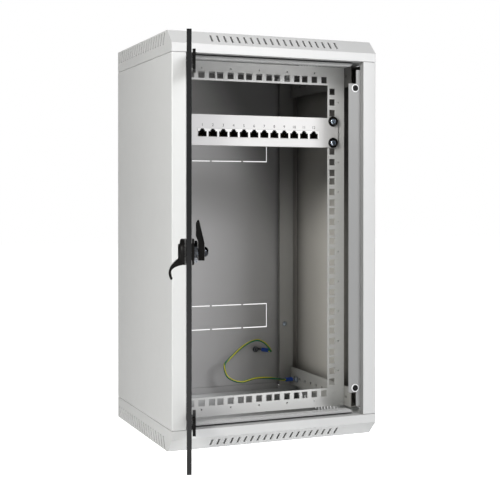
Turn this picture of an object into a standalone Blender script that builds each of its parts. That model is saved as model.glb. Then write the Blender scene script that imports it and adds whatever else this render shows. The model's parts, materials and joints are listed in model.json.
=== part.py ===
"""Small wall cabinet for network equipment, with a glass door that stands open.

Units are metres and +Z is up. The origin is the centre of the cabinet's underside, +X is to the
right for someone facing the door side, and the door side is at -Y. Names with "rise" are heights
above or below mid-height, because the cabinet is the same shape above and below it.
"""

import math

import bmesh
import bpy
from mathutils import Euler, Matrix, Vector

# Cabinet body
WIDTH = 0.310
DEPTH = 0.264
HEIGHT = 0.570
SHEET = 0.0012
FIT_GAP = 0.0003
SEAM = 0.0007
FRONT = -DEPTH / 2
REAR = DEPTH / 2
HALF_WIDTH = WIDTH / 2
HALF_HEIGHT = HEIGHT / 2
MID = HEIGHT / 2

# Covers: a folded pan at each end, with a chamfer along its front edge
COVER_HEIGHT = 0.031
CHAMFER = 0.019
RIM_RISE = HALF_HEIGHT - COVER_HEIGHT
LEDGE_DEPTH = 0.0182
STRIP_SETBACK = 0.0142
STRIP_TOP_RISE = 0.252
STRIP_LOW_RISE = 0.248
STRIP_RETURN = 0.014
STRIP_HALF_WIDTH = 0.1213
SLOT_COUNT = 20
SLOT_WIDTH = 0.0030
FRONT_SLOT_LENGTH = 0.0140
FRONT_SLOT_PITCH = 0.010
SIDE_SLOT_LENGTH = 0.017
SIDE_SLOT_PITCH = 0.0115
SIDE_SLOT_LEAN = math.radians(24)
SIDE_SLOT_START = 0.034
SIDE_SLOT_RISE = 0.275

# Side shells: side wall, front face, return and door rest folded from one sheet
SHELL_HALF_HEIGHT = RIM_RISE - SEAM
CORNER_RADIUS = 0.0018
FACE_WIDTH = 0.020
RETURN_DEPTH = 0.0082
REST_INNER = 0.1154
HINGE_REST_INNER = 0.1290
REAR_FLANGE = 0.014
NOTCH_INNER = 0.1277
NOTCH_LOW_RISE = 0.2225
NOTCH_TOP_RISE = 0.2424

# Rear panel with two cable entries that stay in place on small bridges
PANEL_HALF_WIDTH = HALF_WIDTH - REAR_FLANGE - SEAM
ENTRY_HALF_WIDTH = 0.099
ENTRY_LOW_RISE = 0.1167
ENTRY_TOP_RISE = 0.1564
ENTRY_SLIT = 0.0015
ENTRY_BRIDGE = 0.003
ENTRY_BRIDGE_X = 0.055
LIP_HALF_WIDTH = 0.118
LIP_OVERLAP = 0.005
LIP_FOOT = 0.002

# Rear posts and depth rails
POST_INNER = 0.119
POST_OUTER = 0.1434
POST_DEPTH = 0.0087
RAIL_SHEET = 0.0015
POST_HALF_HEIGHT = 0.2528
POST_SCREW_X = 0.1277
POST_SCREW_RISE = 0.1515
POST_SCREW_HOLE = 0.0023
RAIL_INNER = 0.1383
RAIL_LOW_RISE = 0.223
RAIL_TOP_RISE = 0.252
RAIL_FLANGE = 0.0148
RAIL_SETBACK = 0.0442
RAIL_HOLE_RISE = 0.2387
RAIL_HOLE_PITCH = 0.020
RAIL_HOLE_COUNT = 10
RAIL_HOLE_RADIUS = 0.0022
RAIL_HOLE_START = 0.015
POST_SCREW_HEAD = 0.0040
POST_SCREW_CROWN = 0.0026
POST_SCREW_SHANK = 0.0020
POST_SCREW_LENGTH = 0.0050

# Rack frame: ten-inch hole spacing across, nineteen-inch hole spacing up and down
UNIT = 0.04445
HOLE_OFFSET = 0.015875
FRAME_SETBACK = 0.0652
FRAME_SHEET = 0.002
FRAME_OUTER_X = 0.138
FRAME_OUTER_RISE = 0.252
FRAME_INNER_X = 0.1111
FRAME_INNER_RISE = 0.225
FRAME_RETURN = 0.025
SQUARE_HOLE = 0.0095
RACK_HOLE_X = 0.236525 / 2
RACK_HOLE_RISE = 0.4651 / 2
UNITS_HIGH = 10
UNITS_WIDE = 5
MARK_RADIUS = 0.0014
MARK_X = 0.128
MARK_RISE = 0.242
FRAME_FACE = FRONT + FRAME_SETBACK
FRAME_SCREW_HEAD = 0.0036
FRAME_SCREW_CROWN = 0.0024
FRAME_SCREW_SHANK = 0.0018
FRAME_SCREW_LENGTH = 0.0070

# Patch panel, one unit high, in the second unit from the top
PATCH_RISE = 3.5 * UNIT
PATCH_WIDTH = 0.254
PATCH_DROP = 0.001
PATCH_HEIGHT = 0.0436
PATCH_SHEET = 0.0015
PATCH_RETURN = 0.012
PATCH_RETURN_HALF = 0.107
STRIP_LIGHT_HALF = 0.0954
STRIP_LIGHT_HEIGHT = 0.0118
STRIP_LIGHT_RISE = 0.1506
JACK_DEPTH = 0.024
PORT_COUNT = 12
PORT_PITCH = 0.0159
PORT_CENTRE_X = -0.0009
PORT_WIDTH = 0.0118
PORT_DEPTH = 0.014
PORT_SILL = 0.0008
PORT_STEPS = ((0.5, 0.0066), (0.27, 0.0086), (0.15, 0.0102))

# Panel fasteners
SCREW_RADIUS = 0.0029
SCREW_HEAD_RADIUS = 0.00485
SCREW_HEAD_HEIGHT = 0.0026
SCREW_LENGTH = 0.016
CUP_RADIUS = 0.00765
CUP_HEIGHT = 0.0030
CUP_HOLE = 0.0033
CUP_BASE = 0.0010
CUP_RIM = 0.0012
CUP_LIP = 0.0009
CUP_ROOM = 0.0003
NUT_BOSS_PROUD = 0.0014
NUT_BORE_GAP = 0.0001
NUT_WIDTH = 0.013
NUT_HEIGHT = 0.011
NUT_DEPTH = 0.006
RECESS_WIDTH = 0.0012
RECESS_LENGTH = 0.0054
RECESS_DEPTH = 0.0013

# Door bumpers
BUMPER_X = 0.1257
BUMPER_RISE = 0.216
BUMPER_RADIUS = 0.00415
BUMPER_PROUD = 0.0026
BUMPER_HOLE = 0.002
COLLAR_RADIUS = 0.0058
COLLAR_HEIGHT = 0.001
DIMPLE_RADIUS = 0.0019
DIMPLE_DEPTH = 0.0010
BUMPER_STEM = 0.0030

# Door, measured in its own frame: x along the pane from the hinge axis, y towards the cabinet
# when the door is shut, z above mid-height
HINGE_X = -0.1285
HINGE_Y = FRONT + 0.0025
DOOR_OPEN = math.radians(109.7)
PANE_START = -0.0035
PANE_END = 0.2605
PANE_HALF_HEIGHT = 0.2462
PANE_DROP = 0.0011
PANE_THICKNESS = 0.0055
PANE_CORNER = 0.006
LEAF_START = 0.0014
LEAF_END = 0.050
LEAF_LOW_RISE = 0.226
LEAF_TOP_RISE = 0.2525
LEAF_NEAR = 0.0036
LEAF_FAR = 0.0077
LEAF_CORNER = 0.004
KNUCKLE_RISE = 0.2486
KNUCKLE_RADIUS = 0.0042
KNUCKLE_FOOT_START = 0.004
KNUCKLE_FOOT_END = 0.008
HINGE_PIN_RADIUS = 0.0015
HINGE_PIN_CLEARANCE = 0.00008
HINGE_PIN_TOP_RISE = 0.2560
PAD_INSET = 0.006
PAD_GAP = 0.0001

# Lock, a little below the door's centre line, with distances measured across the pane from its middle
LOCK_X = 0.2205
LOCK_RISE = -0.0025
PANE_OUTSIDE = -PANE_THICKNESS / 2
PANE_INSIDE = PANE_THICKNESS / 2
BARREL_RADIUS = 0.0097
BARREL_BORE = 0.0047
BARREL_END = 0.0095
BEZEL_RADIUS = 0.0150
BEZEL_THICKNESS = 0.0018
BEZEL_FACE = PANE_OUTSIDE - BEZEL_THICKNESS
WASHER_RADIUS = 0.0150
WASHER_THICKNESS = 0.0025
WASHER_EDGE = 0.0006
NUT_ACROSS = 0.0220
LOCK_NUT_THICKNESS = 0.0036
NUT_ROOM = 0.0002
SPINDLE_RADIUS = 0.0043
HUB_RADIUS = 0.0150
HUB_BORE = 0.0097
HUB_FRONT = -0.0108
HUB_EDGE = 0.0015
HUB_BACK = BEZEL_FACE - FIT_GAP
HUB_FLOOR = HUB_BACK - 0.0016
LEVER_HALF_WIDTH = 0.0085
LEVER_TAPER_START = 0.012
LEVER_TAPER_LENGTH = 0.018
LEVER_TAPER = 0.22
CORE_RADIUS = 0.0093
CORE_FRONT = -0.0128
CORE_EDGE = 0.0010
KEY_SLOT_HALF_WIDTH = 0.0008
KEY_SLOT_HALF_LENGTH = 0.0038
KEY_SLOT_DEPTH = 0.0040
CAM_NEAR = 0.0099
CAM_FAR = 0.0172
CAM_HALF_WIDTH = 0.009
CAM_REACH = 0.0365
CAM_TAPER = 0.30
CAM_TIP_NEAR = 0.0077
CAM_TIP_FAR = 0.0112
CAM_SCREW_HOLE = 0.0017
CAM_SCREW_SHANK = 0.00155
CAM_SCREW_HEAD = 0.0059
CAM_SCREW_CROWN = 0.0046
CAM_SCREW_LENGTH = 0.0068

# Earth wire and its terminals
WIRE_RADIUS = 0.0018
BOOT_RADIUS = 0.0033
BOOT_LENGTH = 0.012
TERMINAL_BARREL = 0.0016
RING_RADIUS = 0.0048
RING_SHEET = 0.0008
TONGUE_REACH = 0.0066
SLEEVE_START = 0.0052
CRIMP_SHARE = 0.4
STUD_RADIUS = 0.0020
STUD_PROUD = 0.0050
STUD_NUT_RADIUS = 0.0042
STUD_NUT_HEIGHT = 0.0035
EARTH_SCREW_HEAD = 0.0045
EARTH_SCREW_CROWN = 0.0036
EARTH_SCREW_LENGTH = 0.0049
EARTH_X = 0.078
EARTH_RISE = -0.192
RAIL_EARTH_Y = 0.0965
RAIL_EARTH_RISE = -0.2405
REAR_BOOT_DIRECTION = Vector((0.60, -0.80, -0.05)).normalized()

WORLD_AXES = {"X": Vector((1, 0, 0)), "Y": Vector((0, 1, 0)), "Z": Vector((0, 0, 1))}


# ---------------------------------------------------------------- helpers


def clear_scene():
    for item in list(bpy.data.objects):
        bpy.data.objects.remove(item, do_unlink=True)


def finish(name, color, roughness, metallic=0.0, alpha=1.0):
    """A plain Principled material."""
    made = bpy.data.materials.new(name)
    made.use_nodes = True
    shader = made.node_tree.nodes["Principled BSDF"]
    shader.inputs["Base Color"].default_value = (*color, 1.0)
    shader.inputs["Roughness"].default_value = roughness
    shader.inputs["Metallic"].default_value = metallic
    shader.inputs["Alpha"].default_value = alpha
    made.diffuse_color = (*color, alpha)
    made.metallic = metallic
    made.roughness = roughness
    return made


def place_point(axis, u, v, along):
    """The point at (u, v) in the plane across the axis, in the axes' X, Y, Z order."""
    if axis == "X":
        return Vector((along, u, v))
    if axis == "Y":
        return Vector((u, along, v))
    return Vector((u, v, along))


def bmesh_to_mesh(shape, name):
    bmesh.ops.recalc_face_normals(shape, faces=shape.faces)
    mesh = bpy.data.meshes.new(name)
    shape.to_mesh(mesh)
    shape.free()
    return mesh


def prism_mesh(name, outline, axis, low, high):
    """Solid with the given outline, extruded along an axis from low to high."""
    shape = bmesh.new()
    corners = [shape.verts.new(place_point(axis, u, v, low)) for u, v in outline]
    face = shape.faces.new(corners)
    grown = bmesh.ops.extrude_face_region(shape, geom=[face], use_keep_orig=True)
    moved = [part for part in grown["geom"] if isinstance(part, bmesh.types.BMVert)]
    bmesh.ops.translate(shape, verts=moved, vec=WORLD_AXES[axis] * (high - low))
    return bmesh_to_mesh(shape, name)


def boxes_mesh(name, boxes):
    """One mesh of separate boxes, each given by its lowest and highest corner."""
    shape = bmesh.new()
    for low, high in boxes:
        low = Vector(low)
        high = Vector(high)
        size = Matrix.Diagonal((*(high - low), 1.0))
        bmesh.ops.create_cube(shape, size=1.0, matrix=Matrix.Translation((low + high) / 2) @ size)
    return bmesh_to_mesh(shape, name)


def rods_mesh(name, rods, segments):
    """One mesh of separate rods, each given by its start, end and radius."""
    shape = bmesh.new()
    for start, end, radius in rods:
        start = Vector(start)
        end = Vector(end)
        turn = (end - start).to_track_quat("Z", "Y").to_matrix().to_4x4()
        bmesh.ops.create_cone(
            shape,
            cap_ends=True,
            segments=segments,
            radius1=radius,
            radius2=radius,
            depth=(end - start).length,
            matrix=Matrix.Translation((start + end) / 2) @ turn,
        )
    return bmesh_to_mesh(shape, name)


def turned_mesh(name, profile, direction, segments, closed=False):
    """Solid turned about an axis: the profile's points are (radius, distance along the axis)."""
    shape = bmesh.new()
    points = [shape.verts.new((radius, 0.0, along)) for radius, along in profile]
    pairs = list(zip(points, points[1:]))
    if closed:
        pairs.append((points[-1], points[0]))
    edges = [shape.edges.new(pair) for pair in pairs]
    bmesh.ops.spin(
        shape,
        geom=points + edges,
        cent=(0.0, 0.0, 0.0),
        axis=(0.0, 0.0, 1.0),
        angle=2 * math.pi,
        steps=segments,
        use_merge=True,
    )
    bmesh.ops.remove_doubles(shape, verts=shape.verts, dist=0.000001)
    turn = Vector(direction).to_track_quat("Z", "Y").to_matrix().to_4x4()
    bmesh.ops.transform(shape, matrix=turn, verts=shape.verts)
    return bmesh_to_mesh(shape, name)


def tube_profile(inner, outer, low, high):
    return [(inner, low), (outer, low), (outer, high), (inner, high)]


def screw_profile(head, crown, shank, length, seat=0.0):
    """Profile of a screw with a domed head above its seat and a plain shank below it."""
    steps = 4
    profile = []
    for step in range(steps + 1):
        angle = math.pi / 2 * (1 - step / steps)
        profile.append((head * math.cos(angle), seat + crown * math.sin(angle)))
    return profile + [(shank, seat), (shank, seat - length), (0.0, seat - length)]


def offset_path(path, distance):
    """The path moved sideways to its left, with mitred corners."""
    points = [Vector(point) for point in path]
    lefts = []
    for start, end in zip(points, points[1:]):
        along = (end - start).normalized()
        lefts.append(Vector((-along.y, along.x)))
    moved = [points[0] + lefts[0] * distance]
    for point, before, after in zip(points[1:-1], lefts, lefts[1:]):
        middle = (before + after).normalized()
        moved.append(point + middle * (distance / middle.dot(before)))
    moved.append(points[-1] + lefts[-1] * distance)
    return [tuple(point) for point in moved]


def sheet_outline(path, thickness):
    """Outline of a folded sheet whose seen side is the path and whose metal lies to its left."""
    return list(path) + offset_path(path, thickness)[::-1]


def arc(centre, radius, start, end, steps):
    """Points of an arc in the plane, from one angle to another in degrees."""
    points = []
    for step in range(steps + 1):
        angle = math.radians(start + (end - start) * step / steps)
        points.append((centre[0] + radius * math.cos(angle), centre[1] + radius * math.sin(angle)))
    return points


def mirrored(points, sign):
    return [(sign * u, v) for u, v in points]


def add_part(name, mesh, material, parent=None, location=(0.0, 0.0, 0.0), smooth=False):
    """An object of the assembly, which is one node."""
    part = bpy.data.objects.new(name, mesh)
    if not mesh.materials:
        mesh.materials.append(material)
    bpy.context.scene.collection.objects.link(part)
    part.location = location
    part.parent = parent
    if smooth:
        mesh.shade_smooth()
        mesh.set_sharp_from_angle(angle=math.radians(35))
    return part


def use_tool(part, mesh, operation):
    """Cut the mesh from the part, or weld it to the part."""
    tool = bpy.data.objects.new(mesh.name, mesh)
    bpy.context.scene.collection.objects.link(tool)
    tool.parent = part.parent
    tool.location = part.location
    tool.hide_render = True
    tool.display_type = "WIRE"
    modifier = part.modifiers.new(mesh.name, "BOOLEAN")
    modifier.operation = operation
    modifier.solver = "EXACT"
    modifier.object = tool


def cut(part, mesh):
    use_tool(part, mesh, "DIFFERENCE")


def weld(part, mesh):
    use_tool(part, mesh, "UNION")


# ---------------------------------------------------------------- cabinet body


def half(side):
    return "upper" if side > 0 else "lower"


def hand(side):
    return "right" if side > 0 else "left"


def heights(path, side):
    """Turn (y, rise) points into (y, z) points above or below mid-height."""
    return [(y, MID + side * rise) for y, rise in path]


def cover_slots(side):
    """Cutters for the row of slots in the chamfer and the leaning slots in both side walls."""
    shape = bmesh.new()
    slope = Matrix.Rotation(side * math.radians(45), 4, "X")
    chamfer_y = FRONT + CHAMFER / 2
    chamfer_z = MID + side * (HALF_HEIGHT - CHAMFER / 2)
    for index in range(SLOT_COUNT):
        x = (index - (SLOT_COUNT - 1) / 2) * FRONT_SLOT_PITCH
        size = Matrix.Diagonal((SLOT_WIDTH, 6 * SHEET, FRONT_SLOT_LENGTH, 1.0))
        place = Matrix.Translation((x, chamfer_y, chamfer_z)) @ slope.inverted() @ size
        bmesh.ops.create_cube(shape, size=1.0, matrix=place)
    lean = Matrix.Rotation(side * SIDE_SLOT_LEAN, 4, "X")
    for index in range(SLOT_COUNT):
        y = FRONT + SIDE_SLOT_START + index * SIDE_SLOT_PITCH
        size = Matrix.Diagonal((6 * SHEET, SLOT_WIDTH, SIDE_SLOT_LENGTH, 1.0))
        for wall in (-1, 1):
            place = Matrix.Translation((wall * HALF_WIDTH, y, MID + side * SIDE_SLOT_RISE))
            bmesh.ops.create_cube(shape, size=1.0, matrix=place @ lean @ size)
    return bmesh_to_mesh(shape, "cover_slots_" + half(side))


def inner_strip(side):
    """Strip behind the lip that frames the door opening, with ends mitred at 45 degrees."""
    step_y = FRONT + LEDGE_DEPTH
    face_y = FRONT + STRIP_SETBACK
    path = [
        (step_y, RIM_RISE + SHEET / 2),
        (step_y, STRIP_TOP_RISE),
        (face_y, STRIP_TOP_RISE),
        (face_y, STRIP_LOW_RISE),
        (face_y + STRIP_RETURN, STRIP_LOW_RISE),
    ]
    outline = heights(sheet_outline(path, SHEET), side)
    mesh = prism_mesh("inner_strip_" + half(side), outline, "X", -1.0, 1.0)
    for vertex in mesh.vertices:
        rise = side * (vertex.co.z - MID)
        vertex.co.x *= STRIP_HALF_WIDTH + rise - STRIP_LOW_RISE
    return mesh


def make_cover(name, side, paint):
    outer = [
        (FRONT, RIM_RISE),
        (FRONT, HALF_HEIGHT - CHAMFER),
        (FRONT + CHAMFER, HALF_HEIGHT),
        (REAR, HALF_HEIGHT),
        (REAR, RIM_RISE),
    ]
    hollow = offset_path(outer, -SHEET)
    hollow[0] = (hollow[0][0], RIM_RISE - SHEET)
    hollow[-1] = (hollow[-1][0], RIM_RISE - SHEET)
    pan = prism_mesh(name, heights(outer, side), "X", -HALF_WIDTH, HALF_WIDTH)
    cover = add_part(name, pan, paint)
    inside = HALF_WIDTH - SHEET
    cut(cover, prism_mesh("hollow_" + half(side), heights(hollow, side), "X", -inside, inside))
    ledge = [
        (FRONT + SHEET / 2, RIM_RISE),
        (FRONT + LEDGE_DEPTH + SHEET, RIM_RISE),
        (FRONT + LEDGE_DEPTH + SHEET, RIM_RISE + SHEET),
        (FRONT + SHEET / 2, RIM_RISE + SHEET),
    ]
    reach = HALF_WIDTH - SHEET / 2
    weld(cover, prism_mesh("ledge_" + half(side), heights(ledge, side), "X", -reach, reach))
    weld(cover, inner_strip(side))
    cut(cover, cover_slots(side))
    bore = HINGE_PIN_RADIUS + HINGE_PIN_CLEARANCE
    start = (HINGE_X, HINGE_Y, MID + side * (RIM_RISE - SHEET))
    end = (HINGE_X, HINGE_Y, MID + side * (RIM_RISE + 2 * SHEET))
    cut(cover, rods_mesh("pin_hole_" + half(side), [(start, end, bore)], 24))


def make_side_shell(side, paint):
    """Side wall, front face and door rest in one folded sheet. The hinge side has a narrow rest."""
    centre = (HALF_WIDTH - CORNER_RADIUS, FRONT + CORNER_RADIUS)
    face_inner = HALF_WIDTH - FACE_WIDTH
    rest_inner = REST_INNER if side > 0 else HINGE_REST_INNER
    path = [(HALF_WIDTH - REAR_FLANGE, REAR), (HALF_WIDTH, REAR)]
    path += arc(centre, CORNER_RADIUS, 0, -90, 5)
    path += [
        (face_inner, FRONT),
        (face_inner, FRONT + RETURN_DEPTH),
        (rest_inner, FRONT + RETURN_DEPTH),
    ]
    outline = mirrored(sheet_outline(path, -SHEET), side)
    low = MID - SHELL_HALF_HEIGHT
    high = MID + SHELL_HALF_HEIGHT
    shell = add_part("side_shell_" + hand(side), prism_mesh("shell", outline, "Z", low, high), paint)
    corners = (rest_inner - SHEET, face_inner - SHEET / 3, NOTCH_TOP_RISE, HALF_HEIGHT)
    cut(shell, boxes_mesh("corner_room_" + hand(side), rest_cutters(side, *corners)))
    if side > 0:
        notches = (REST_INNER - SHEET, NOTCH_INNER, NOTCH_LOW_RISE, NOTCH_TOP_RISE)
        cut(shell, boxes_mesh("rest_notches", rest_cutters(side, *notches)))
        rods = []
        for end in (-1, 1):
            start = (BUMPER_X, FRONT + RETURN_DEPTH - SHEET, MID + end * BUMPER_RISE)
            stop = (BUMPER_X, FRONT + RETURN_DEPTH + 2 * SHEET, MID + end * BUMPER_RISE)
            rods.append((start, stop, BUMPER_HOLE))
        cut(shell, rods_mesh("bumper_holes", rods, 12))


def rest_cutters(side, inner, outer, low_rise, high_rise):
    """A box through the door rest near each end of a side shell."""
    boxes = []
    for end in (-1, 1):
        x_pair = sorted((side * inner, side * outer))
        z_pair = sorted((MID + end * low_rise, MID + end * high_rise))
        low = (x_pair[0], FRONT + RETURN_DEPTH - SHEET, z_pair[0])
        boxes.append((low, (x_pair[1], FRONT + RETURN_DEPTH + 2 * SHEET, z_pair[1])))
    return boxes


def entry_end_slit(side):
    """C-shaped slit round one end of a cable entry, as points above mid-height."""
    inner = ENTRY_BRIDGE_X + ENTRY_BRIDGE / 2
    outline = [
        (inner, ENTRY_LOW_RISE),
        (ENTRY_HALF_WIDTH, ENTRY_LOW_RISE),
        (ENTRY_HALF_WIDTH, ENTRY_TOP_RISE),
        (inner, ENTRY_TOP_RISE),
        (inner, ENTRY_TOP_RISE - ENTRY_SLIT),
        (ENTRY_HALF_WIDTH - ENTRY_SLIT, ENTRY_TOP_RISE - ENTRY_SLIT),
        (ENTRY_HALF_WIDTH - ENTRY_SLIT, ENTRY_LOW_RISE + ENTRY_SLIT),
        (inner, ENTRY_LOW_RISE + ENTRY_SLIT),
    ]
    return mirrored(outline, side)


def make_rear_panel(paint):
    y_low = REAR - SHEET
    low = (-PANEL_HALF_WIDTH, y_low, MID - SHELL_HALF_HEIGHT)
    high = (PANEL_HALF_WIDTH, REAR, MID + SHELL_HALF_HEIGHT)
    panel = add_part("rear_panel", boxes_mesh("rear_panel", [(low, high)]), paint)
    slit_low = y_low - SHEET
    slit_high = REAR + SHEET
    straight = []
    for end in (-1, 1):
        for side in (-1, 1):
            outline = [(x, MID + end * rise) for x, rise in entry_end_slit(side)]
            name = "entry_end_" + half(end) + hand(side)
            cut(panel, prism_mesh(name, outline, "Y", slit_low, slit_high))
            x_pair = sorted((side * ENTRY_BRIDGE / 2, side * (ENTRY_BRIDGE_X - ENTRY_BRIDGE / 2)))
            for line in (ENTRY_LOW_RISE, ENTRY_TOP_RISE - ENTRY_SLIT):
                z_pair = sorted((MID + end * line, MID + end * (line + ENTRY_SLIT)))
                box_low = (x_pair[0], slit_low, z_pair[0])
                straight.append((box_low, (x_pair[1], slit_high, z_pair[1])))
    cut(panel, boxes_mesh("entry_slits", straight))
    stud = (EARTH_X, slit_low, MID + EARTH_RISE)
    holes = [(stud, (EARTH_X, slit_high, MID + EARTH_RISE), SCREW_RADIUS + FIT_GAP)]
    cut(panel, rods_mesh("earth_hole", holes, 16))
    for end in (-1, 1):
        weld(panel, prism_mesh("lip_" + half(end), rear_lip(end), "X", -LIP_HALF_WIDTH, LIP_HALF_WIDTH))


def rear_lip(side):
    """Joggled lip that laps behind the rear wall of a cover, as (y, z) points."""
    near = REAR - 2 * SHEET - FIT_GAP
    outline = [
        (near, SHELL_HALF_HEIGHT - 2 * LIP_FOOT),
        (REAR - SHEET / 2, SHELL_HALF_HEIGHT - 2 * LIP_FOOT),
        (REAR - SHEET / 2, SHELL_HALF_HEIGHT - LIP_FOOT),
        (near + SHEET, SHELL_HALF_HEIGHT - LIP_FOOT),
        (near + SHEET, RIM_RISE + LIP_OVERLAP),
        (near, RIM_RISE + LIP_OVERLAP),
    ]
    return heights(outline, side)


def make_rear_post(side, paint):
    back = REAR - SHEET - FIT_GAP
    path = [
        (POST_INNER, back),
        (POST_INNER, REAR - POST_DEPTH),
        (POST_OUTER, REAR - POST_DEPTH),
        (POST_OUTER, back),
    ]
    outline = mirrored(sheet_outline(path, RAIL_SHEET), side)
    low = MID - POST_HALF_HEIGHT
    mesh = prism_mesh("post", outline, "Z", low, MID + POST_HALF_HEIGHT)
    post = add_part("rear_post_" + hand(side), mesh, paint)
    holes = []
    for end in (-1, 1):
        start = Vector((side * POST_SCREW_X, REAR - POST_DEPTH - SHEET, MID + end * POST_SCREW_RISE))
        holes.append((start, start + Vector((0, 4 * SHEET, 0)), POST_SCREW_HOLE))
    cut(post, rods_mesh("post_holes_" + hand(side), holes, 10))


def make_depth_rail(side, end, paint):
    """Angle between the front of the cabinet and a rear post, with a row of adjusting holes."""
    path = [
        (RAIL_INNER, RAIL_LOW_RISE),
        (RAIL_INNER, RAIL_TOP_RISE),
        (RAIL_INNER + RAIL_FLANGE, RAIL_TOP_RISE),
    ]
    outline = [(side * x, MID + end * rise) for x, rise in sheet_outline(path, -RAIL_SHEET)]
    front = FRONT + RAIL_SETBACK
    rear = REAR - POST_DEPTH - FIT_GAP
    name = "depth_rail_" + half(end) + "_" + hand(side)
    rail = add_part(name, prism_mesh(name, outline, "Y", front, rear), paint)
    inner = side * (RAIL_INNER - RAIL_SHEET)
    outer = side * (RAIL_INNER + 2 * RAIL_SHEET)
    holes = []
    for index in range(RAIL_HOLE_COUNT):
        y = front + RAIL_HOLE_START + index * RAIL_HOLE_PITCH
        z = MID + end * RAIL_HOLE_RISE
        holes.append(((inner, y, z), (outer, y, z), RAIL_HOLE_RADIUS))
    if side > 0 > end:
        z = MID + RAIL_EARTH_RISE
        holes.append(((inner, RAIL_EARTH_Y, z), (outer, RAIL_EARTH_Y, z), RAIL_HOLE_RADIUS))
    cut(rail, rods_mesh(name + "_holes", holes, 6))


# ---------------------------------------------------------------- rack frame and patch panel


def unit_offsets(count):
    """Hole positions of a row of rack units: three holes to a unit, about the row's middle."""
    offsets = []
    for unit in range(count):
        middle = (unit - (count - 1) / 2) * UNIT
        offsets += [middle - HOLE_OFFSET, middle, middle + HOLE_OFFSET]
    return offsets


def make_rack_frame(paint):
    back = FRAME_FACE + FRAME_RETURN
    path = [
        (FRAME_OUTER_X, back),
        (FRAME_OUTER_X, FRAME_FACE),
        (-FRAME_OUTER_X, FRAME_FACE),
        (-FRAME_OUTER_X, back),
    ]
    outline = sheet_outline(path, -FRAME_SHEET)
    low = MID - FRAME_OUTER_RISE
    mesh = prism_mesh("rack_frame", outline, "Z", low, MID + FRAME_OUTER_RISE)
    frame = add_part("rack_frame", mesh, paint)
    near = FRAME_FACE - FRAME_SHEET
    far = FRAME_FACE + 2 * FRAME_SHEET
    centres = []
    marks = []
    for sign in (-1, 1):
        centres += [(sign * RACK_HOLE_X, MID + rise) for rise in unit_offsets(UNITS_HIGH)]
        centres += [(x, MID + sign * RACK_HOLE_RISE) for x in unit_offsets(UNITS_WIDE)]
        marks += [(sign * MARK_X, MID + rise) for rise in unit_offsets(UNITS_HIGH)[1::3]]
        marks += [(x, MID + sign * MARK_RISE) for x in unit_offsets(UNITS_WIDE)[1::3]]
    reach = SQUARE_HOLE / 2
    boxes = [((x - reach, near, z - reach), (x + reach, far, z + reach)) for x, z in centres]
    window_low = (-FRAME_INNER_X, near, MID - FRAME_INNER_RISE)
    boxes.append((window_low, (FRAME_INNER_X, far, MID + FRAME_INNER_RISE)))
    rods = [((x, near, z), (x, far, z), MARK_RADIUS) for x, z in marks]
    for side in (-1, 1):
        for end in (-1, 1):
            start = frame_screw_place(side, end, RAIL_INNER - 3 * FRAME_SHEET)
            stop = frame_screw_place(side, end, RAIL_INNER + FRAME_SHEET)
            rods.append((start, stop, RAIL_HOLE_RADIUS))
    holes = bmesh.new()
    for mesh in (boxes_mesh("square_holes", boxes), rods_mesh("round_holes", rods, 6)):
        holes.from_mesh(mesh)
        bpy.data.meshes.remove(mesh)
    cut(frame, bmesh_to_mesh(holes, "frame_holes"))


def frame_screw_place(side, end, x):
    y = FRONT + RAIL_SETBACK + RAIL_HOLE_START + RAIL_HOLE_PITCH
    return (side * x, y, MID + end * RAIL_HOLE_RISE)


def make_frame_screws(zinc):
    """Screws through the frame's returns into the depth rails."""
    profile = screw_profile(
        FRAME_SCREW_HEAD, FRAME_SCREW_CROWN, FRAME_SCREW_SHANK, FRAME_SCREW_LENGTH
    )
    for side in (-1, 1):
        mesh = turned_mesh("frame_screw", profile, (-side, 0, 0), 8)
        for end in (-1, 1):
            name = "rack_frame_screw_" + half(end) + "_" + hand(side)
            place = frame_screw_place(side, end, FRAME_OUTER_X - FRAME_SHEET - FIT_GAP)
            add_part(name, mesh, zinc, location=place, smooth=True)


def port_outline(x, z):
    """Stepped opening of a modular jack, with the latch notch on top; z is its lower edge."""
    right = []
    rise = 0.0
    for share, top in PORT_STEPS:
        right += [(share * PORT_WIDTH, rise), (share * PORT_WIDTH, top)]
        rise = top
    outline = right + mirrored(right, -1)[::-1]
    return [(x + across, z + up) for across, up in outline]


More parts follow.
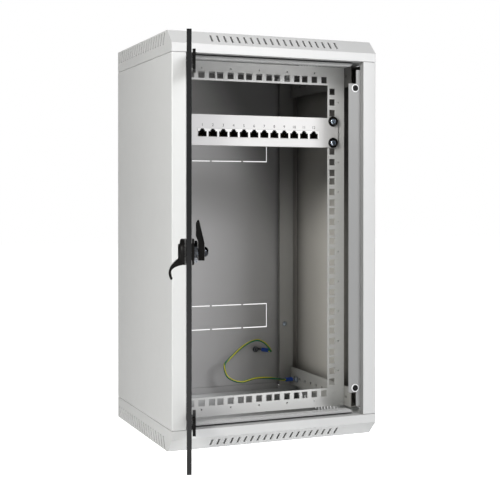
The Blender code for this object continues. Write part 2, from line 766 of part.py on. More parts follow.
def make_patch_panel(paint, white):
    face = FRAME_FACE - FIT_GAP - PATCH_SHEET
    back = FRAME_FACE - FIT_GAP
    centre = MID + PATCH_RISE - PATCH_DROP
    reach = PATCH_HEIGHT / 2
    low = (-PATCH_WIDTH / 2, face, centre - reach)
    high = (PATCH_WIDTH / 2, back, centre + reach)
    plate = add_part("patch_panel_plate", boxes_mesh("patch_plate", [(low, high)]), paint)
    returns = []
    for sign in (-1, 1):
        z_pair = sorted((centre + sign * reach, centre + sign * (reach - SHEET)))
        corner = (-PATCH_RETURN_HALF, face + PATCH_SHEET / 2, z_pair[0])
        returns.append((corner, (PATCH_RETURN_HALF, back + PATCH_RETURN, z_pair[1])))
    weld(plate, boxes_mesh("patch_returns", returns))
    strip_x = STRIP_LIGHT_HALF
    strip_z = STRIP_LIGHT_HEIGHT / 2
    strip_centre = MID + STRIP_LIGHT_RISE
    gap = FIT_GAP
    window_low = (-strip_x - gap, face - SHEET, strip_centre - strip_z - gap)
    window_high = (strip_x + gap, back + SHEET, strip_centre + strip_z + gap)
    cut(plate, boxes_mesh("patch_window", [(window_low, window_high)]))
    holes = []
    for x, z in panel_screw_places():
        holes.append(((x, face - SHEET, z), (x, back + SHEET, z), CUP_HOLE))
    cut(plate, rods_mesh("patch_holes", holes, 16))
    front = face - FIT_GAP
    strip_low = (-strip_x, front, strip_centre - strip_z)
    strip_high = (strip_x, front + JACK_DEPTH, strip_centre + strip_z)
    jacks = add_part("patch_panel_jacks", boxes_mesh("jacks", [(strip_low, strip_high)]), white)
    shape = bmesh.new()
    for index in range(PORT_COUNT):
        x = PORT_CENTRE_X + (index - (PORT_COUNT - 1) / 2) * PORT_PITCH
        outline = port_outline(x, strip_centre - strip_z + PORT_SILL)
        mesh = prism_mesh("port", outline, "Y", front - SHEET, front + PORT_DEPTH)
        shape.from_mesh(mesh)
        bpy.data.meshes.remove(mesh)
    cut(jacks, bmesh_to_mesh(shape, "ports"))


def panel_screw_places():
    """The panel's four fixing points, each on a square hole of the rack frame."""
    places = []
    for side in (-1, 1):
        for end in (-1, 1):
            places.append((side * RACK_HOLE_X, MID + PATCH_RISE + end * HOLE_OFFSET))
    return places


def make_panel_fasteners(zinc, black, steel):
    cup_back = FRAME_FACE - 2 * FIT_GAP - PATCH_SHEET
    seat = cup_back - CUP_BASE - FIT_GAP
    cup_profile = [
        (CUP_HOLE, 0.0),
        (CUP_RADIUS, 0.0),
        (CUP_RADIUS, CUP_RIM),
        (CUP_RADIUS - CUP_RIM, CUP_HEIGHT),
        (CUP_RADIUS - CUP_RIM - CUP_LIP, CUP_HEIGHT),
        (SCREW_HEAD_RADIUS + CUP_ROOM, CUP_BASE),
        (CUP_HOLE, CUP_BASE),
    ]
    cup = turned_mesh("cup_washer", cup_profile, (0, -1, 0), 16, closed=True)
    profile = screw_profile(SCREW_HEAD_RADIUS, SCREW_HEAD_HEIGHT, SCREW_RADIUS, SCREW_LENGTH)
    screw = turned_mesh("panel_screw", profile, (0, -1, 0), 12)
    block_front = FRAME_FACE + FRAME_SHEET + FIT_GAP
    for number, (x, z) in enumerate(panel_screw_places(), start=1):
        add_part(f"cup_washer_{number}", cup, black, location=(x, cup_back, z), smooth=True)
        place = (x, seat, z)
        head = add_part(f"panel_screw_{number}", screw.copy(), zinc, location=place, smooth=True)
        cut(head, cross_recess(f"cross_{number}", SCREW_HEAD_HEIGHT))
        make_cage_nut(number, (x, block_front, z), steel)


def make_cage_nut(number, place, steel):
    """Threaded block behind the rack frame, whose boss sits in a square hole."""
    half_x = NUT_WIDTH / 2
    half_z = NUT_HEIGHT / 2
    boss = SQUARE_HOLE / 2 - FIT_GAP
    block = boxes_mesh(f"nut_block_{number}", [((-half_x, 0.0, -half_z), (half_x, NUT_DEPTH, half_z))])
    nut = add_part(f"cage_nut_{number}", block, steel, location=place)
    boss_front = -FIT_GAP - NUT_BOSS_PROUD
    weld(nut, boxes_mesh(f"nut_boss_{number}", [((-boss, boss_front, -boss), (boss, SHEET, boss))]))
    bore_start = (0.0, boss_front - SHEET, 0.0)
    bore_end = (0.0, NUT_DEPTH + SHEET, 0.0)
    bore = [(bore_start, bore_end, SCREW_RADIUS + NUT_BORE_GAP)]
    cut(nut, rods_mesh(f"nut_bore_{number}", bore, 16))


def cross_recess(name, head_height):
    """Cutter for the cross in a screw head that faces -Y."""
    reach = RECESS_LENGTH / 2
    thin = RECESS_WIDTH / 2
    outline = [
        (thin, reach),
        (-thin, reach),
        (-thin, thin),
        (-reach, thin),
        (-reach, -thin),
        (-thin, -thin),
        (-thin, -reach),
        (thin, -reach),
        (thin, -thin),
        (reach, -thin),
        (reach, thin),
        (thin, thin),
    ]
    return prism_mesh(name, outline, "Y", -head_height - SHEET, RECESS_DEPTH - head_height)


def make_post_screws(zinc):
    """Screws through the rear posts' faces."""
    profile = screw_profile(
        POST_SCREW_HEAD, POST_SCREW_CROWN, POST_SCREW_SHANK, POST_SCREW_LENGTH
    )
    mesh = turned_mesh("post_screw", profile, (0, -1, 0), 10)
    for side in (-1, 1):
        for end in (-1, 1):
            name = "rear_post_screw_" + half(end) + "_" + hand(side)
            y = REAR - POST_DEPTH - FIT_GAP
            place = (side * POST_SCREW_X, y, MID + end * POST_SCREW_RISE)
            add_part(name, mesh, zinc, location=place, smooth=True)


def make_bumpers(rubber, plastic):
    """Rubber buffers on the door rest, each in a light collar."""
    face = FRONT + RETURN_DEPTH - FIT_GAP
    stem = BUMPER_HOLE - FIT_GAP
    bumper_profile = [
        (0.0, BUMPER_PROUD - DIMPLE_DEPTH),
        (DIMPLE_RADIUS / 2, BUMPER_PROUD - DIMPLE_DEPTH),
        (DIMPLE_RADIUS, BUMPER_PROUD),
        ((DIMPLE_RADIUS + BUMPER_RADIUS) / 2, BUMPER_PROUD),
        (BUMPER_RADIUS, BUMPER_PROUD - DIMPLE_DEPTH),
        (BUMPER_RADIUS, 0.0),
        (stem, 0.0),
        (stem, -BUMPER_STEM),
        (0.0, -BUMPER_STEM),
    ]
    bumper = turned_mesh("bumper", bumper_profile, (0, -1, 0), 16)
    inner = BUMPER_RADIUS + FIT_GAP
    collar_profile = tube_profile(inner, COLLAR_RADIUS, 0.0, COLLAR_HEIGHT)
    collar = turned_mesh("collar", collar_profile, (0, -1, 0), 16, closed=True)
    for end in (-1, 1):
        place = (BUMPER_X, face, MID + end * BUMPER_RISE)
        add_part("door_bumper_" + half(end), bumper, rubber, location=place, smooth=True)
        add_part("bumper_collar_" + half(end), collar, plastic, location=place, smooth=True)


# ---------------------------------------------------------------- earth wire


def rear_terminal():
    """Ring on the rear panel's stud, and the direction its barrel leaves in."""
    return Vector((EARTH_X, REAR - SHEET - FIT_GAP, MID + EARTH_RISE)), REAR_BOOT_DIRECTION


def rail_terminal():
    """Ring on the lower right depth rail, and the direction its barrel leaves in."""
    ring = Vector((RAIL_INNER - FIT_GAP, RAIL_EARTH_Y, MID + RAIL_EARTH_RISE))
    return ring, Vector((-1.0, 0.0, 0.0))


def make_terminal(name, ring, normal, edge, direction, hole, metals, boots):
    """Crimped ring terminal with its insulating sleeve. Returns where the wire enters the sleeve."""
    profile = tube_profile(hole, RING_RADIUS, 0.0, RING_SHEET)
    mesh = turned_mesh(name, profile, normal, 14, closed=True)
    terminal = add_part("ring_terminal_" + name, mesh, metals, location=ring)
    lift = RING_SHEET / 2 + TERMINAL_BARREL * direction.cross(normal).length
    start = edge * TONGUE_REACH + normal * lift
    sleeve_start = start + direction * SLEEVE_START
    barrel_end = sleeve_start + direction * BOOT_LENGTH * CRIMP_SHARE
    across = normal.cross(edge) * TERMINAL_BARREL
    tongue = [
        edge * RING_RADIUS * 0.8 - across + normal * RING_SHEET * 0.1,
        edge * (TONGUE_REACH + TERMINAL_BARREL) + across + normal * RING_SHEET * 0.9,
    ]
    corners = [Vector(map(min, *tongue)), Vector(map(max, *tongue))]
    weld(terminal, boxes_mesh(name + "_tongue", [corners]))
    weld(terminal, rods_mesh(name + "_barrel", [(start, barrel_end, TERMINAL_BARREL)], 8))
    sleeve = tube_profile(TERMINAL_BARREL + FIT_GAP, BOOT_RADIUS, 0.0, BOOT_LENGTH)
    boot = turned_mesh(name + "_boot", sleeve, direction, 12, closed=True)
    add_part("terminal_boot_" + name, boot, boots, location=ring + sleeve_start, smooth=True)
    return ring + sleeve_start + direction * BOOT_LENGTH


def make_wire(start, end, start_direction, end_direction, material):
    """Wire hanging in a loop between the two sleeves."""
    loop = [
        (0.0870, 0.1120, 0.1050),
        (0.0720, 0.1130, 0.1103),
        (0.0480, 0.1070, 0.1034),
        (0.0170, 0.0992, 0.0826),
        (0.0095, 0.0952, 0.0745),
        (0.0130, 0.0892, 0.0578),
        (0.0332, 0.0852, 0.0493),
        (0.0591, 0.0852, 0.0537),
        (0.0870, 0.0892, 0.0515),
    ]
    lead = 0.0015
    points = [start + start_direction * lead, start + start_direction * 3 * lead]
    points += [Vector(point) for point in loop]
    points += [end + end_direction * 3 * lead, end + end_direction * lead]
    curve = bpy.data.curves.new("earth_wire", "CURVE")
    curve.dimensions = "3D"
    curve.bevel_depth = WIRE_RADIUS
    curve.bevel_resolution = 1
    curve.resolution_u = 4
    curve.use_fill_caps = True
    spline = curve.splines.new("BEZIER")
    spline.bezier_points.add(len(points) - 1)
    for knot, point in zip(spline.bezier_points, points):
        knot.co = point
        knot.handle_left_type = "AUTO"
        knot.handle_right_type = "AUTO"
    wire = bpy.data.objects.new("earth_wire", curve)
    curve.materials.append(material)
    bpy.context.scene.collection.objects.link(wire)


def make_earthing(zinc, blue, green):
    rear_ring, rear_direction = rear_terminal()
    rail_ring, rail_direction = rail_terminal()
    rear_normal = Vector((0.0, -1.0, 0.0))
    rail_normal = Vector((-1.0, 0.0, 0.0))
    rear_edge = Vector((1.0, 0.0, 0.0))
    rail_edge = Vector((0.0, 1.0, 0.0))
    start = make_terminal(
        "rear", rear_ring, rear_normal, rear_edge, rear_direction, SCREW_RADIUS, zinc, blue
    )
    end = make_terminal(
        "rail", rail_ring, rail_normal, rail_edge, rail_direction, RAIL_HOLE_RADIUS, zinc, blue
    )
    make_wire(start, end, rear_direction, rail_direction, green)
    head = RING_SHEET + FIT_GAP
    stud_profile = [
        (0.0, head + STUD_PROUD),
        (STUD_RADIUS, head + STUD_PROUD),
        (STUD_RADIUS, head + STUD_NUT_HEIGHT),
        (STUD_NUT_RADIUS, head + STUD_NUT_HEIGHT),
        (STUD_NUT_RADIUS, head),
        (SCREW_RADIUS - FIT_GAP, head),
        (SCREW_RADIUS - FIT_GAP, -SHEET),
        (0.0, -SHEET),
    ]
    stud = turned_mesh("earth_stud", stud_profile, rear_normal, 10)
    add_part("earth_stud_nut", stud, zinc, location=rear_ring, smooth=True)
    shank = RAIL_HOLE_RADIUS - FIT_GAP
    profile = screw_profile(EARTH_SCREW_HEAD, EARTH_SCREW_CROWN, shank, EARTH_SCREW_LENGTH, seat=head)
    screw = turned_mesh("earth_screw", profile, rail_normal, 10)
    add_part("earth_screw", screw, zinc, location=rail_ring, smooth=True)


# ---------------------------------------------------------------- door and lock


def make_axis(name, location, turn=(0.0, 0.0, 0.0), parent=None):
    """Empty on a joint's axis."""
    axis = bpy.data.objects.new(name, None)
    bpy.context.scene.collection.objects.link(axis)
    axis.location = location
    axis.rotation_euler = Euler(turn)
    axis.parent = parent
    return axis


def rounded_rectangle(low, high, radius, steps):
    points = []
    points += arc((high[0] - radius, high[1] - radius), radius, 0, 90, steps)
    points += arc((low[0] + radius, high[1] - radius), radius, 90, 180, steps)
    points += arc((low[0] + radius, low[1] + radius), radius, 180, 270, steps)
    points += arc((high[0] - radius, low[1] + radius), radius, 270, 360, steps)
    return points


def make_door_glass(door, glass):
    low = (PANE_START, -PANE_HALF_HEIGHT - PANE_DROP)
    outline = rounded_rectangle(low, (PANE_END, PANE_HALF_HEIGHT - PANE_DROP), PANE_CORNER, 6)
    reach = PANE_THICKNESS / 2
    mesh = prism_mesh("door_glass", outline, "Y", -reach, reach)
    pane = add_part("door_glass", mesh, glass, parent=door)
    start = (LOCK_X, -2 * reach, LOCK_RISE)
    hole = [(start, (LOCK_X, 2 * reach, LOCK_RISE), BARREL_RADIUS + FIT_GAP)]
    cut(pane, rods_mesh("lock_hole", hole, 32))


def make_hinge(door, end, black, rubber, zinc):
    """Hinge leaf on a rubber pad behind the pane, with a knuckle and pin above its edge."""
    z_low, z_high = sorted((end * LEAF_LOW_RISE, end * LEAF_TOP_RISE))
    outline = rounded_rectangle((LEAF_START, z_low), (LEAF_END, z_high), LEAF_CORNER, 3)
    mesh = prism_mesh("hinge_leaf_" + half(end), outline, "Y", LEAF_NEAR, LEAF_FAR)
    leaf = add_part("hinge_leaf_" + half(end), mesh, black, parent=door)
    knuckle = arc((0.0, 0.0), KNUCKLE_RADIUS, 90, 270, 8)
    knuckle += [(KNUCKLE_FOOT_START, -KNUCKLE_RADIUS), (KNUCKLE_FOOT_END, LEAF_FAR), (LEAF_START, LEAF_FAR)]
    rise_pair = sorted((end * KNUCKLE_RISE, end * LEAF_TOP_RISE))
    block = prism_mesh("knuckle_" + half(end), knuckle, "Z", rise_pair[0], rise_pair[1])
    weld(leaf, block)
    bore_low = Vector((0.0, 0.0, end * (KNUCKLE_RISE - SHEET)))
    bore_high = Vector((0.0, 0.0, end * (LEAF_TOP_RISE + SHEET)))
    bore = [(bore_low, bore_high, HINGE_PIN_RADIUS + HINGE_PIN_CLEARANCE)]
    cut(leaf, rods_mesh("knuckle_bore_" + half(end), bore, 24))
    pad_z = sorted((end * (LEAF_LOW_RISE + PAD_INSET), end * (PANE_HALF_HEIGHT - PAD_INSET / 2)))
    pad_low = (LEAF_START + PAD_INSET, PANE_INSIDE + PAD_GAP, pad_z[0])
    pad_high = (LEAF_END - PAD_INSET, LEAF_NEAR - PAD_GAP, pad_z[1])
    pad = boxes_mesh("hinge_pad_" + half(end), [(pad_low, pad_high)])
    add_part("hinge_pad_" + half(end), pad, rubber, parent=door)
    pin_start = Vector((0.0, 0.0, end * (KNUCKLE_RISE + FIT_GAP)))
    pin_end = Vector((0.0, 0.0, end * HINGE_PIN_TOP_RISE))
    pin = rods_mesh("hinge_pin_" + half(end), [(pin_start, pin_end, HINGE_PIN_RADIUS)], 24)
    add_part("hinge_pin_" + half(end), pin, zinc, parent=door, smooth=True)


def make_lock_body(door, black, zinc):
    """Fixed part of the lock: bezel and barrel through the pane, washer and nut behind it."""
    profile = [
        (BARREL_BORE, BEZEL_FACE),
        (BEZEL_RADIUS, BEZEL_FACE),
        (BEZEL_RADIUS, PANE_OUTSIDE - FIT_GAP),
        (BARREL_RADIUS, PANE_OUTSIDE - FIT_GAP),
        (BARREL_RADIUS, BARREL_END),
        (BARREL_BORE, BARREL_END),
    ]
    place = (LOCK_X, 0.0, LOCK_RISE)
    body = turned_mesh("lock_body", profile, (0, 1, 0), 20, closed=True)
    add_part("lock_body", body, black, parent=door, location=place, smooth=True)
    bore = BARREL_RADIUS + NUT_ROOM
    washer_near = PANE_INSIDE + FIT_GAP
    washer_far = washer_near + WASHER_THICKNESS
    rim = [
        (bore, washer_near),
        (WASHER_RADIUS, washer_near),
        (WASHER_RADIUS, washer_far - WASHER_EDGE),
        (WASHER_RADIUS - WASHER_EDGE, washer_far),
        (bore, washer_far),
    ]
    washer = turned_mesh("lock_washer", rim, (0, 1, 0), 20, closed=True)
    add_part("lock_washer", washer, black, parent=door, location=place, smooth=True)
    corner = NUT_ACROSS / 2 / math.cos(math.pi / 6)
    outline = arc((0.0, 0.0), corner, 30, 330, 5)
    nut_near = washer_far + FIT_GAP
    nut_mesh = prism_mesh("lock_nut", outline, "Y", nut_near, nut_near + LOCK_NUT_THICKNESS)
    nut = add_part("lock_nut", nut_mesh, zinc, parent=door, location=place)
    hole = [((0.0, PANE_INSIDE, 0.0), (0.0, BARREL_END + 2 * SHEET, 0.0), bore)]
    cut(nut, rods_mesh("nut_hole", hole, 24))


def bezier_point(points, t):
    """Point of a cubic Bezier curve in the plane."""
    s = 1.0 - t
    weights = (s**3, 3 * s * s * t, 3 * s * t * t, t**3)
    return tuple(sum(w * p[axis] for w, p in zip(weights, points)) for axis in (0, 1))


def lever_outline():
    """Side view of the hooked lever as (y, z): it leaves the hub's rim and curls downwards."""
    back = [(-0.0050, -0.0140), (-0.0240, -0.0170), (-0.0215, -0.0240), (-0.0190, -0.0305)]
    face = [(-0.0105, -0.0060), (-0.0230, -0.0150), (-0.0262, -0.0225), (-0.0208, -0.0316)]
    steps = 8
    outline = [bezier_point(face, index / steps) for index in range(steps + 1)]
    outline += [bezier_point(back, index / steps) for index in range(steps, -1, -1)]
    return outline


def make_handle(handle, black):
    """Round hub with a hooked lever, and a hole for the key cylinder."""
    profile = [
        (0.0, HUB_BACK),
        (HUB_RADIUS, HUB_BACK),
        (HUB_RADIUS, HUB_FRONT + HUB_EDGE),
        (HUB_RADIUS - HUB_EDGE, HUB_FRONT),
        (HUB_BORE, HUB_FRONT),
        (HUB_BORE, HUB_FLOOR),
        (0.0, HUB_FLOOR),
    ]
    hub = turned_mesh("lock_handle", profile, (0, 1, 0), 24)
    lever = add_part("lock_handle", hub, black, parent=handle, smooth=True)
    arm = prism_mesh("lever", lever_outline(), "X", -LEVER_HALF_WIDTH, LEVER_HALF_WIDTH)
    for vertex in arm.vertices:
        along = (-vertex.co.z - LEVER_TAPER_START) / LEVER_TAPER_LENGTH
        vertex.co.x *= 1.0 - LEVER_TAPER * min(1.0, max(0.0, along))
    weld(lever, arm)
    bore = [((0.0, 3 * HUB_FRONT, 0.0), (0.0, HUB_FLOOR, 0.0), HUB_BORE)]
    cut(lever, rods_mesh("core_hole", bore, 24))


def make_cam_parts(handle, black, zinc):
    """Spindle through the lock body, the cam that holds the door shut, and its end screw."""
    profile = [
        (0.0, BEZEL_FACE),
        (SPINDLE_RADIUS, BEZEL_FACE),
        (SPINDLE_RADIUS, CAM_FAR),
        (CAM_SCREW_HOLE, CAM_FAR),
        (CAM_SCREW_HOLE, CAM_NEAR),
        (0.0, CAM_NEAR),
    ]
    spindle = turned_mesh("lock_spindle", profile, (0, 1, 0), 12)
    add_part("lock_spindle", spindle, zinc, parent=handle, smooth=True)
    outline = [
        (CAM_NEAR, -0.0098),
        (CAM_FAR, -0.0098),
        (CAM_FAR, 0.0100),
        (CAM_TIP_FAR, CAM_REACH),
        (CAM_TIP_NEAR, CAM_REACH),
        (CAM_TIP_NEAR, 0.0180),
        (CAM_NEAR, 0.0120),
    ]
    mesh = prism_mesh("lock_cam", outline, "X", -CAM_HALF_WIDTH, CAM_HALF_WIDTH)
    for vertex in mesh.vertices:
        along = max(0.0, vertex.co.z / CAM_REACH)
        vertex.co.x *= 1.0 - CAM_TAPER * along
    cam = add_part("lock_cam", mesh, black, parent=handle)
    hole = [((0.0, 0.0, 0.0), (0.0, 2 * CAM_FAR, 0.0), SPINDLE_RADIUS + FIT_GAP)]
    cut(cam, rods_mesh("cam_hole", hole, 20))
    seat = CAM_FAR + FIT_GAP
    head = screw_profile(CAM_SCREW_HEAD, CAM_SCREW_CROWN, CAM_SCREW_SHANK, CAM_SCREW_LENGTH, seat=seat)
    screw = turned_mesh("cam_screw", head, (0, 1, 0), 12)
    add_part("cam_screw", screw, zinc, parent=handle, smooth=True)


def make_lock_core(core, black):
    """Key cylinder in the handle's hub, with a slot for the key."""
    profile = [
        (0.0, HUB_FLOOR - FIT_GAP),
        (CORE_RADIUS, HUB_FLOOR - FIT_GAP),
        (CORE_RADIUS, CORE_FRONT + CORE_EDGE),
        (CORE_RADIUS - CORE_EDGE, CORE_FRONT),
        (0.0, CORE_FRONT),
    ]
    mesh = turned_mesh("lock_core", profile, (0, 1, 0), 20)
    cylinder = add_part("lock_core", mesh, black, parent=core, smooth=True)
    slot_low = (-KEY_SLOT_HALF_WIDTH, CORE_FRONT - SHEET, -KEY_SLOT_HALF_LENGTH)
    slot_high = (KEY_SLOT_HALF_WIDTH, CORE_FRONT + KEY_SLOT_DEPTH, KEY_SLOT_HALF_LENGTH)
    cut(cylinder, boxes_mesh("key_slot", [(slot_low, slot_high)]))


def make_door(glass, black, rubber, zinc):
    door = make_axis("door_axis", (HINGE_X, HINGE_Y, MID), turn=(0.0, 0.0, -DOOR_OPEN))
    make_door_glass(door, glass)
    for end in (-1, 1):
        make_hinge(door, end, black, rubber, zinc)
    make_lock_body(door, black, zinc)
    handle = make_axis("handle_axis", (LOCK_X, 0.0, LOCK_RISE), parent=door)
    make_handle(handle, black)
    make_cam_parts(handle, black, zinc)
    core = make_axis("core_axis", (0.0, 0.0, 0.0), parent=handle)
    make_lock_core(core, black)


def build():
    clear_scene()
    paint = finish("light_grey_paint", (0.78, 0.79, 0.80), 0.45)
    inner_paint = finish("frame_paint", (0.74, 0.74, 0.73), 0.45)
    white = finish("white_plastic", (0.90, 0.90, 0.87), 0.40)
    black = finish("black_plastic", (0.02, 0.02, 0.02), 0.35)
    rubber = finish("black_rubber", (0.02, 0.02, 0.02), 0.80)
    glass = finish("tinted_glass", (0.05, 0.05, 0.055), 0.05, alpha=0.45)
    zinc = finish("zinc_plate", (0.72, 0.76, 0.80), 0.25, metallic=1.0)
    steel = finish("spring_steel", (0.55, 0.56, 0.58), 0.35, metallic=1.0)
    blue = finish("blue_plastic", (0.02, 0.09, 0.42), 0.40)
    green = finish("green_wire", (0.05, 0.32, 0.12), 0.45)

    make_cover("top_cover", 1, paint)
    make_cover("bottom_cover", -1, paint)
    make_rear_panel(inner_paint)
    for side in (-1, 1):
        make_side_shell(side, paint)
        make_rear_post(side, inner_paint)
        for end in (-1, 1):
            make_depth_rail(side, end, inner_paint)
    make_rack_frame(inner_paint)
    make_frame_screws(zinc)
    make_patch_panel(paint, white)
    make_panel_fasteners(zinc, black, steel)
    make_post_screws(zinc)
    make_bumpers(rubber, white)
    make_earthing(zinc, blue, green)
    make_door(glass, black, rubber, zinc)


build()
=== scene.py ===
# Looks of the wall cabinet: materials, fine pieces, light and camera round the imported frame.
# Units are metres and +Z is up, in the frame's own axes.

import json
import math

import bmesh
import bpy
from mathutils import Matrix, Vector


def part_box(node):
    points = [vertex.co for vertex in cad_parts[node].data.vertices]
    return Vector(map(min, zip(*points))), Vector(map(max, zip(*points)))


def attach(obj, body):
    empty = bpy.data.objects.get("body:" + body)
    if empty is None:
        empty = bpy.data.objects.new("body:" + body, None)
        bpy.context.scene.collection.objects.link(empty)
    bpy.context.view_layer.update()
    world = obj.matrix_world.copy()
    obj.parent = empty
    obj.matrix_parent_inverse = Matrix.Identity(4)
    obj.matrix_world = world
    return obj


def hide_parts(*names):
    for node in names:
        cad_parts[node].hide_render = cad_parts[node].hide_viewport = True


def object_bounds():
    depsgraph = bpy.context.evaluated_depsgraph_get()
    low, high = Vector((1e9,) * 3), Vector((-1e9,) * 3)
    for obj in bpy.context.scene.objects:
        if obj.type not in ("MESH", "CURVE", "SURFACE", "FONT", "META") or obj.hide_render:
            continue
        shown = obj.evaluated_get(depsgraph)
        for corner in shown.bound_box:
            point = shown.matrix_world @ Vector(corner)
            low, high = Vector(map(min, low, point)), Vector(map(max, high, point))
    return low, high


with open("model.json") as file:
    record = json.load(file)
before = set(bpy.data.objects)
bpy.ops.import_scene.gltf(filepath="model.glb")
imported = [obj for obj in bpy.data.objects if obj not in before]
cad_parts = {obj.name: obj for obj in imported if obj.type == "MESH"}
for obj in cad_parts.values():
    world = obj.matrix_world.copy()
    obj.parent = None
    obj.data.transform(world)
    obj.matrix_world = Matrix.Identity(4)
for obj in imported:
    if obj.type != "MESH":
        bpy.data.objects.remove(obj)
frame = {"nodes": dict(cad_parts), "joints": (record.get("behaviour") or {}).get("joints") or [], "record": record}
cad_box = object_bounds()

NODES = frame["nodes"]
JOINTS = {joint["name"]: joint for joint in frame["joints"]}

# The door's own frame: x along the pane from the hinge, y out of its inner face, z above mid-height
HINGE = Vector(JOINTS["door_hinge"]["pos_m"])
OPEN_ANGLE = math.radians(JOINTS["door_hinge"]["range_deg"][1])
DOOR = Matrix.Translation(HINGE) @ Matrix.Rotation(-OPEN_ANGLE, 4, "Z")
LOCK = DOOR @ Matrix.Translation(DOOR.inverted() @ Vector(JOINTS["handle_turn"]["pos_m"]))

# Edges steeper than this stay sharp, or get a small round where a piece has one
SMOOTH_LIMIT = math.radians(32)

# Sides of a turned piece
ROUND = 64


# ---------------------------------------------------------------- materials

PANE_TINT = (0.92, 0.925, 0.92)
PANE_INDEX = 1.5

# The recessed faces behind the front, where the door rests, and the share of the colour that their painted shade
# leaves
HALF_SHEET = 0.0006
REST_RECESS = 0.019
REST_SHADE_SHARE = 0.48

# Painted shade that darkens the inside towards its roof: sideways lean, height where it starts, height where
# it is complete, and the share that is left there
SIDE_SHADE = (0.0, 0.26, 0.42, 0.26)
REAR_SHADE = (1.9, 0.43, 0.62, 0.36)

# Powder paint: tone variation, orange peel and grain as (scale, strength, depth)
PAINT_PATCHES = 7.0
PAINT_VARIATION = 0.012
PEEL = (420.0, 0.35, 0.00006)
GRAIN = (1900.0, 0.30, 0.00003)


def add_node(tree, kind, inputs=None, **settings):
    """A shader node with its settings, its plain input values and its links."""
    made = tree.nodes.new(kind)
    for name, value in settings.items():
        setattr(made, name, value)
    for name, value in (inputs or {}).items():
        if isinstance(value, bpy.types.NodeSocket):
            tree.links.new(value, made.inputs[name])
        else:
            made.inputs[name].default_value = value
    return made


def new_material(name, color, roughness, metallic=0.0):
    """An empty look: its node tree, its shader and the object's own coordinates."""
    made = bpy.data.materials.new(name)
    made.use_nodes = True
    made.diffuse_color = (*color, 1.0)
    tree = made.node_tree
    shader = tree.nodes["Principled BSDF"]
    shader.inputs["Base Color"].default_value = (*color, 1.0)
    shader.inputs["Roughness"].default_value = roughness
    shader.inputs["Metallic"].default_value = metallic
    place = add_node(tree, "ShaderNodeTexCoord").outputs["Object"]
    return made, tree, shader, place


def noise(tree, place, scale, detail=2.0):
    """Values of a fractal noise, mostly between 0.3 and 0.7."""
    inputs = {"Vector": place, "Scale": scale, "Detail": detail, "Roughness": 0.55}
    return add_node(tree, "ShaderNodeTexNoise", inputs).outputs["Fac"]


def spread(tree, value, low, high):
    """Maps the middle of a noise to the range from low to high."""
    inputs = {"Value": value, "From Min": 0.3, "From Max": 0.7, "To Min": low, "To Max": high}
    return add_node(tree, "ShaderNodeMapRange", inputs).outputs["Result"]


def vary_color(tree, shader, place, color, scale, amount):
    """Slow uneven tone over the surface."""
    tone = spread(tree, noise(tree, place, scale, 3.0), 1.0 - amount, 1.0 + amount)
    scaled = add_node(tree, "ShaderNodeVectorMath", {0: color, "Scale": tone}, operation="SCALE")
    tree.links.new(scaled.outputs["Vector"], shader.inputs["Base Color"])


def vary_roughness(tree, shader, place, scale, middle, amount):
    """Slow uneven sheen over the surface."""
    value = spread(tree, noise(tree, place, scale), middle - amount, middle + amount)
    tree.links.new(value, shader.inputs["Roughness"])


def add_bumps(tree, shader, layers):
    """Stacked bumps, each given by its height socket, strength and depth."""
    normal = None
    for height, strength, depth in layers:
        inputs = {"Height": height, "Strength": strength, "Distance": depth}
        if normal is not None:
            inputs["Normal"] = normal
        normal = add_node(tree, "ShaderNodeBump", inputs).outputs["Normal"]
    tree.links.new(normal, shader.inputs["Normal"])


def crevices(tree, reach, deepest, local):
    """Painted shade: 1 on open faces, falling towards a share in corners that see little of the room."""
    settings = {"samples": 8, "only_local": local}
    seen = add_node(tree, "ShaderNodeAmbientOcclusion", {"Distance": reach}, **settings)
    open_share = seen.outputs["AO"]
    inputs = {"Value": open_share, "From Min": 0.15, "From Max": 0.85, "To Min": deepest, "To Max": 1.0}
    return add_node(tree, "ShaderNodeMapRange", inputs).outputs["Result"]


def times(tree, first, second):
    """The product of two values."""
    return add_node(tree, "ShaderNodeMath", {0: first, 1: second}, operation="MULTIPLY").outputs["Value"]


def blend_to(tree, mask, share):
    """1 where the mask is 0, and the share where it is 1."""
    inputs = {"Value": mask, "To Min": 1.0, "To Max": share}
    return add_node(tree, "ShaderNodeMapRange", inputs).outputs["Result"]


def box_mask(tree, place, centre, reach):
    """1 inside a box and 0 outside it."""
    shifted = add_node(tree, "ShaderNodeVectorMath", {0: place, 1: centre}, operation="SUBTRACT")
    away = add_node(tree, "ShaderNodeVectorMath", {0: shifted.outputs["Vector"]}, operation="ABSOLUTE")
    axes = add_node(tree, "ShaderNodeSeparateXYZ", {0: away.outputs["Vector"]})
    inside = 1.0
    for axis, limit in zip("XYZ", reach):
        inputs = {0: axes.outputs[axis], 1: limit}
        within = add_node(tree, "ShaderNodeMath", inputs, operation="LESS_THAN")
        inside = times(tree, inside, within.outputs["Value"])
    return inside


def top_shade(tree, place, lean, low, high, share):
    """Painted shade that darkens the inside towards its roof, and with a lean towards the lock side as well."""
    axes = add_node(tree, "ShaderNodeSeparateXYZ", {0: place})
    sideways = times(tree, axes.outputs["X"], lean)
    height = add_node(tree, "ShaderNodeMath", {0: axes.outputs["Z"], 1: sideways}).outputs["Value"]
    inputs = {"Value": height, "From Min": low, "From Max": high, "To Min": 1.0, "To Max": share}
    shade = add_node(tree, "ShaderNodeMapRange", inputs, interpolation_type="SMOOTHSTEP")
    return shade.outputs["Result"]


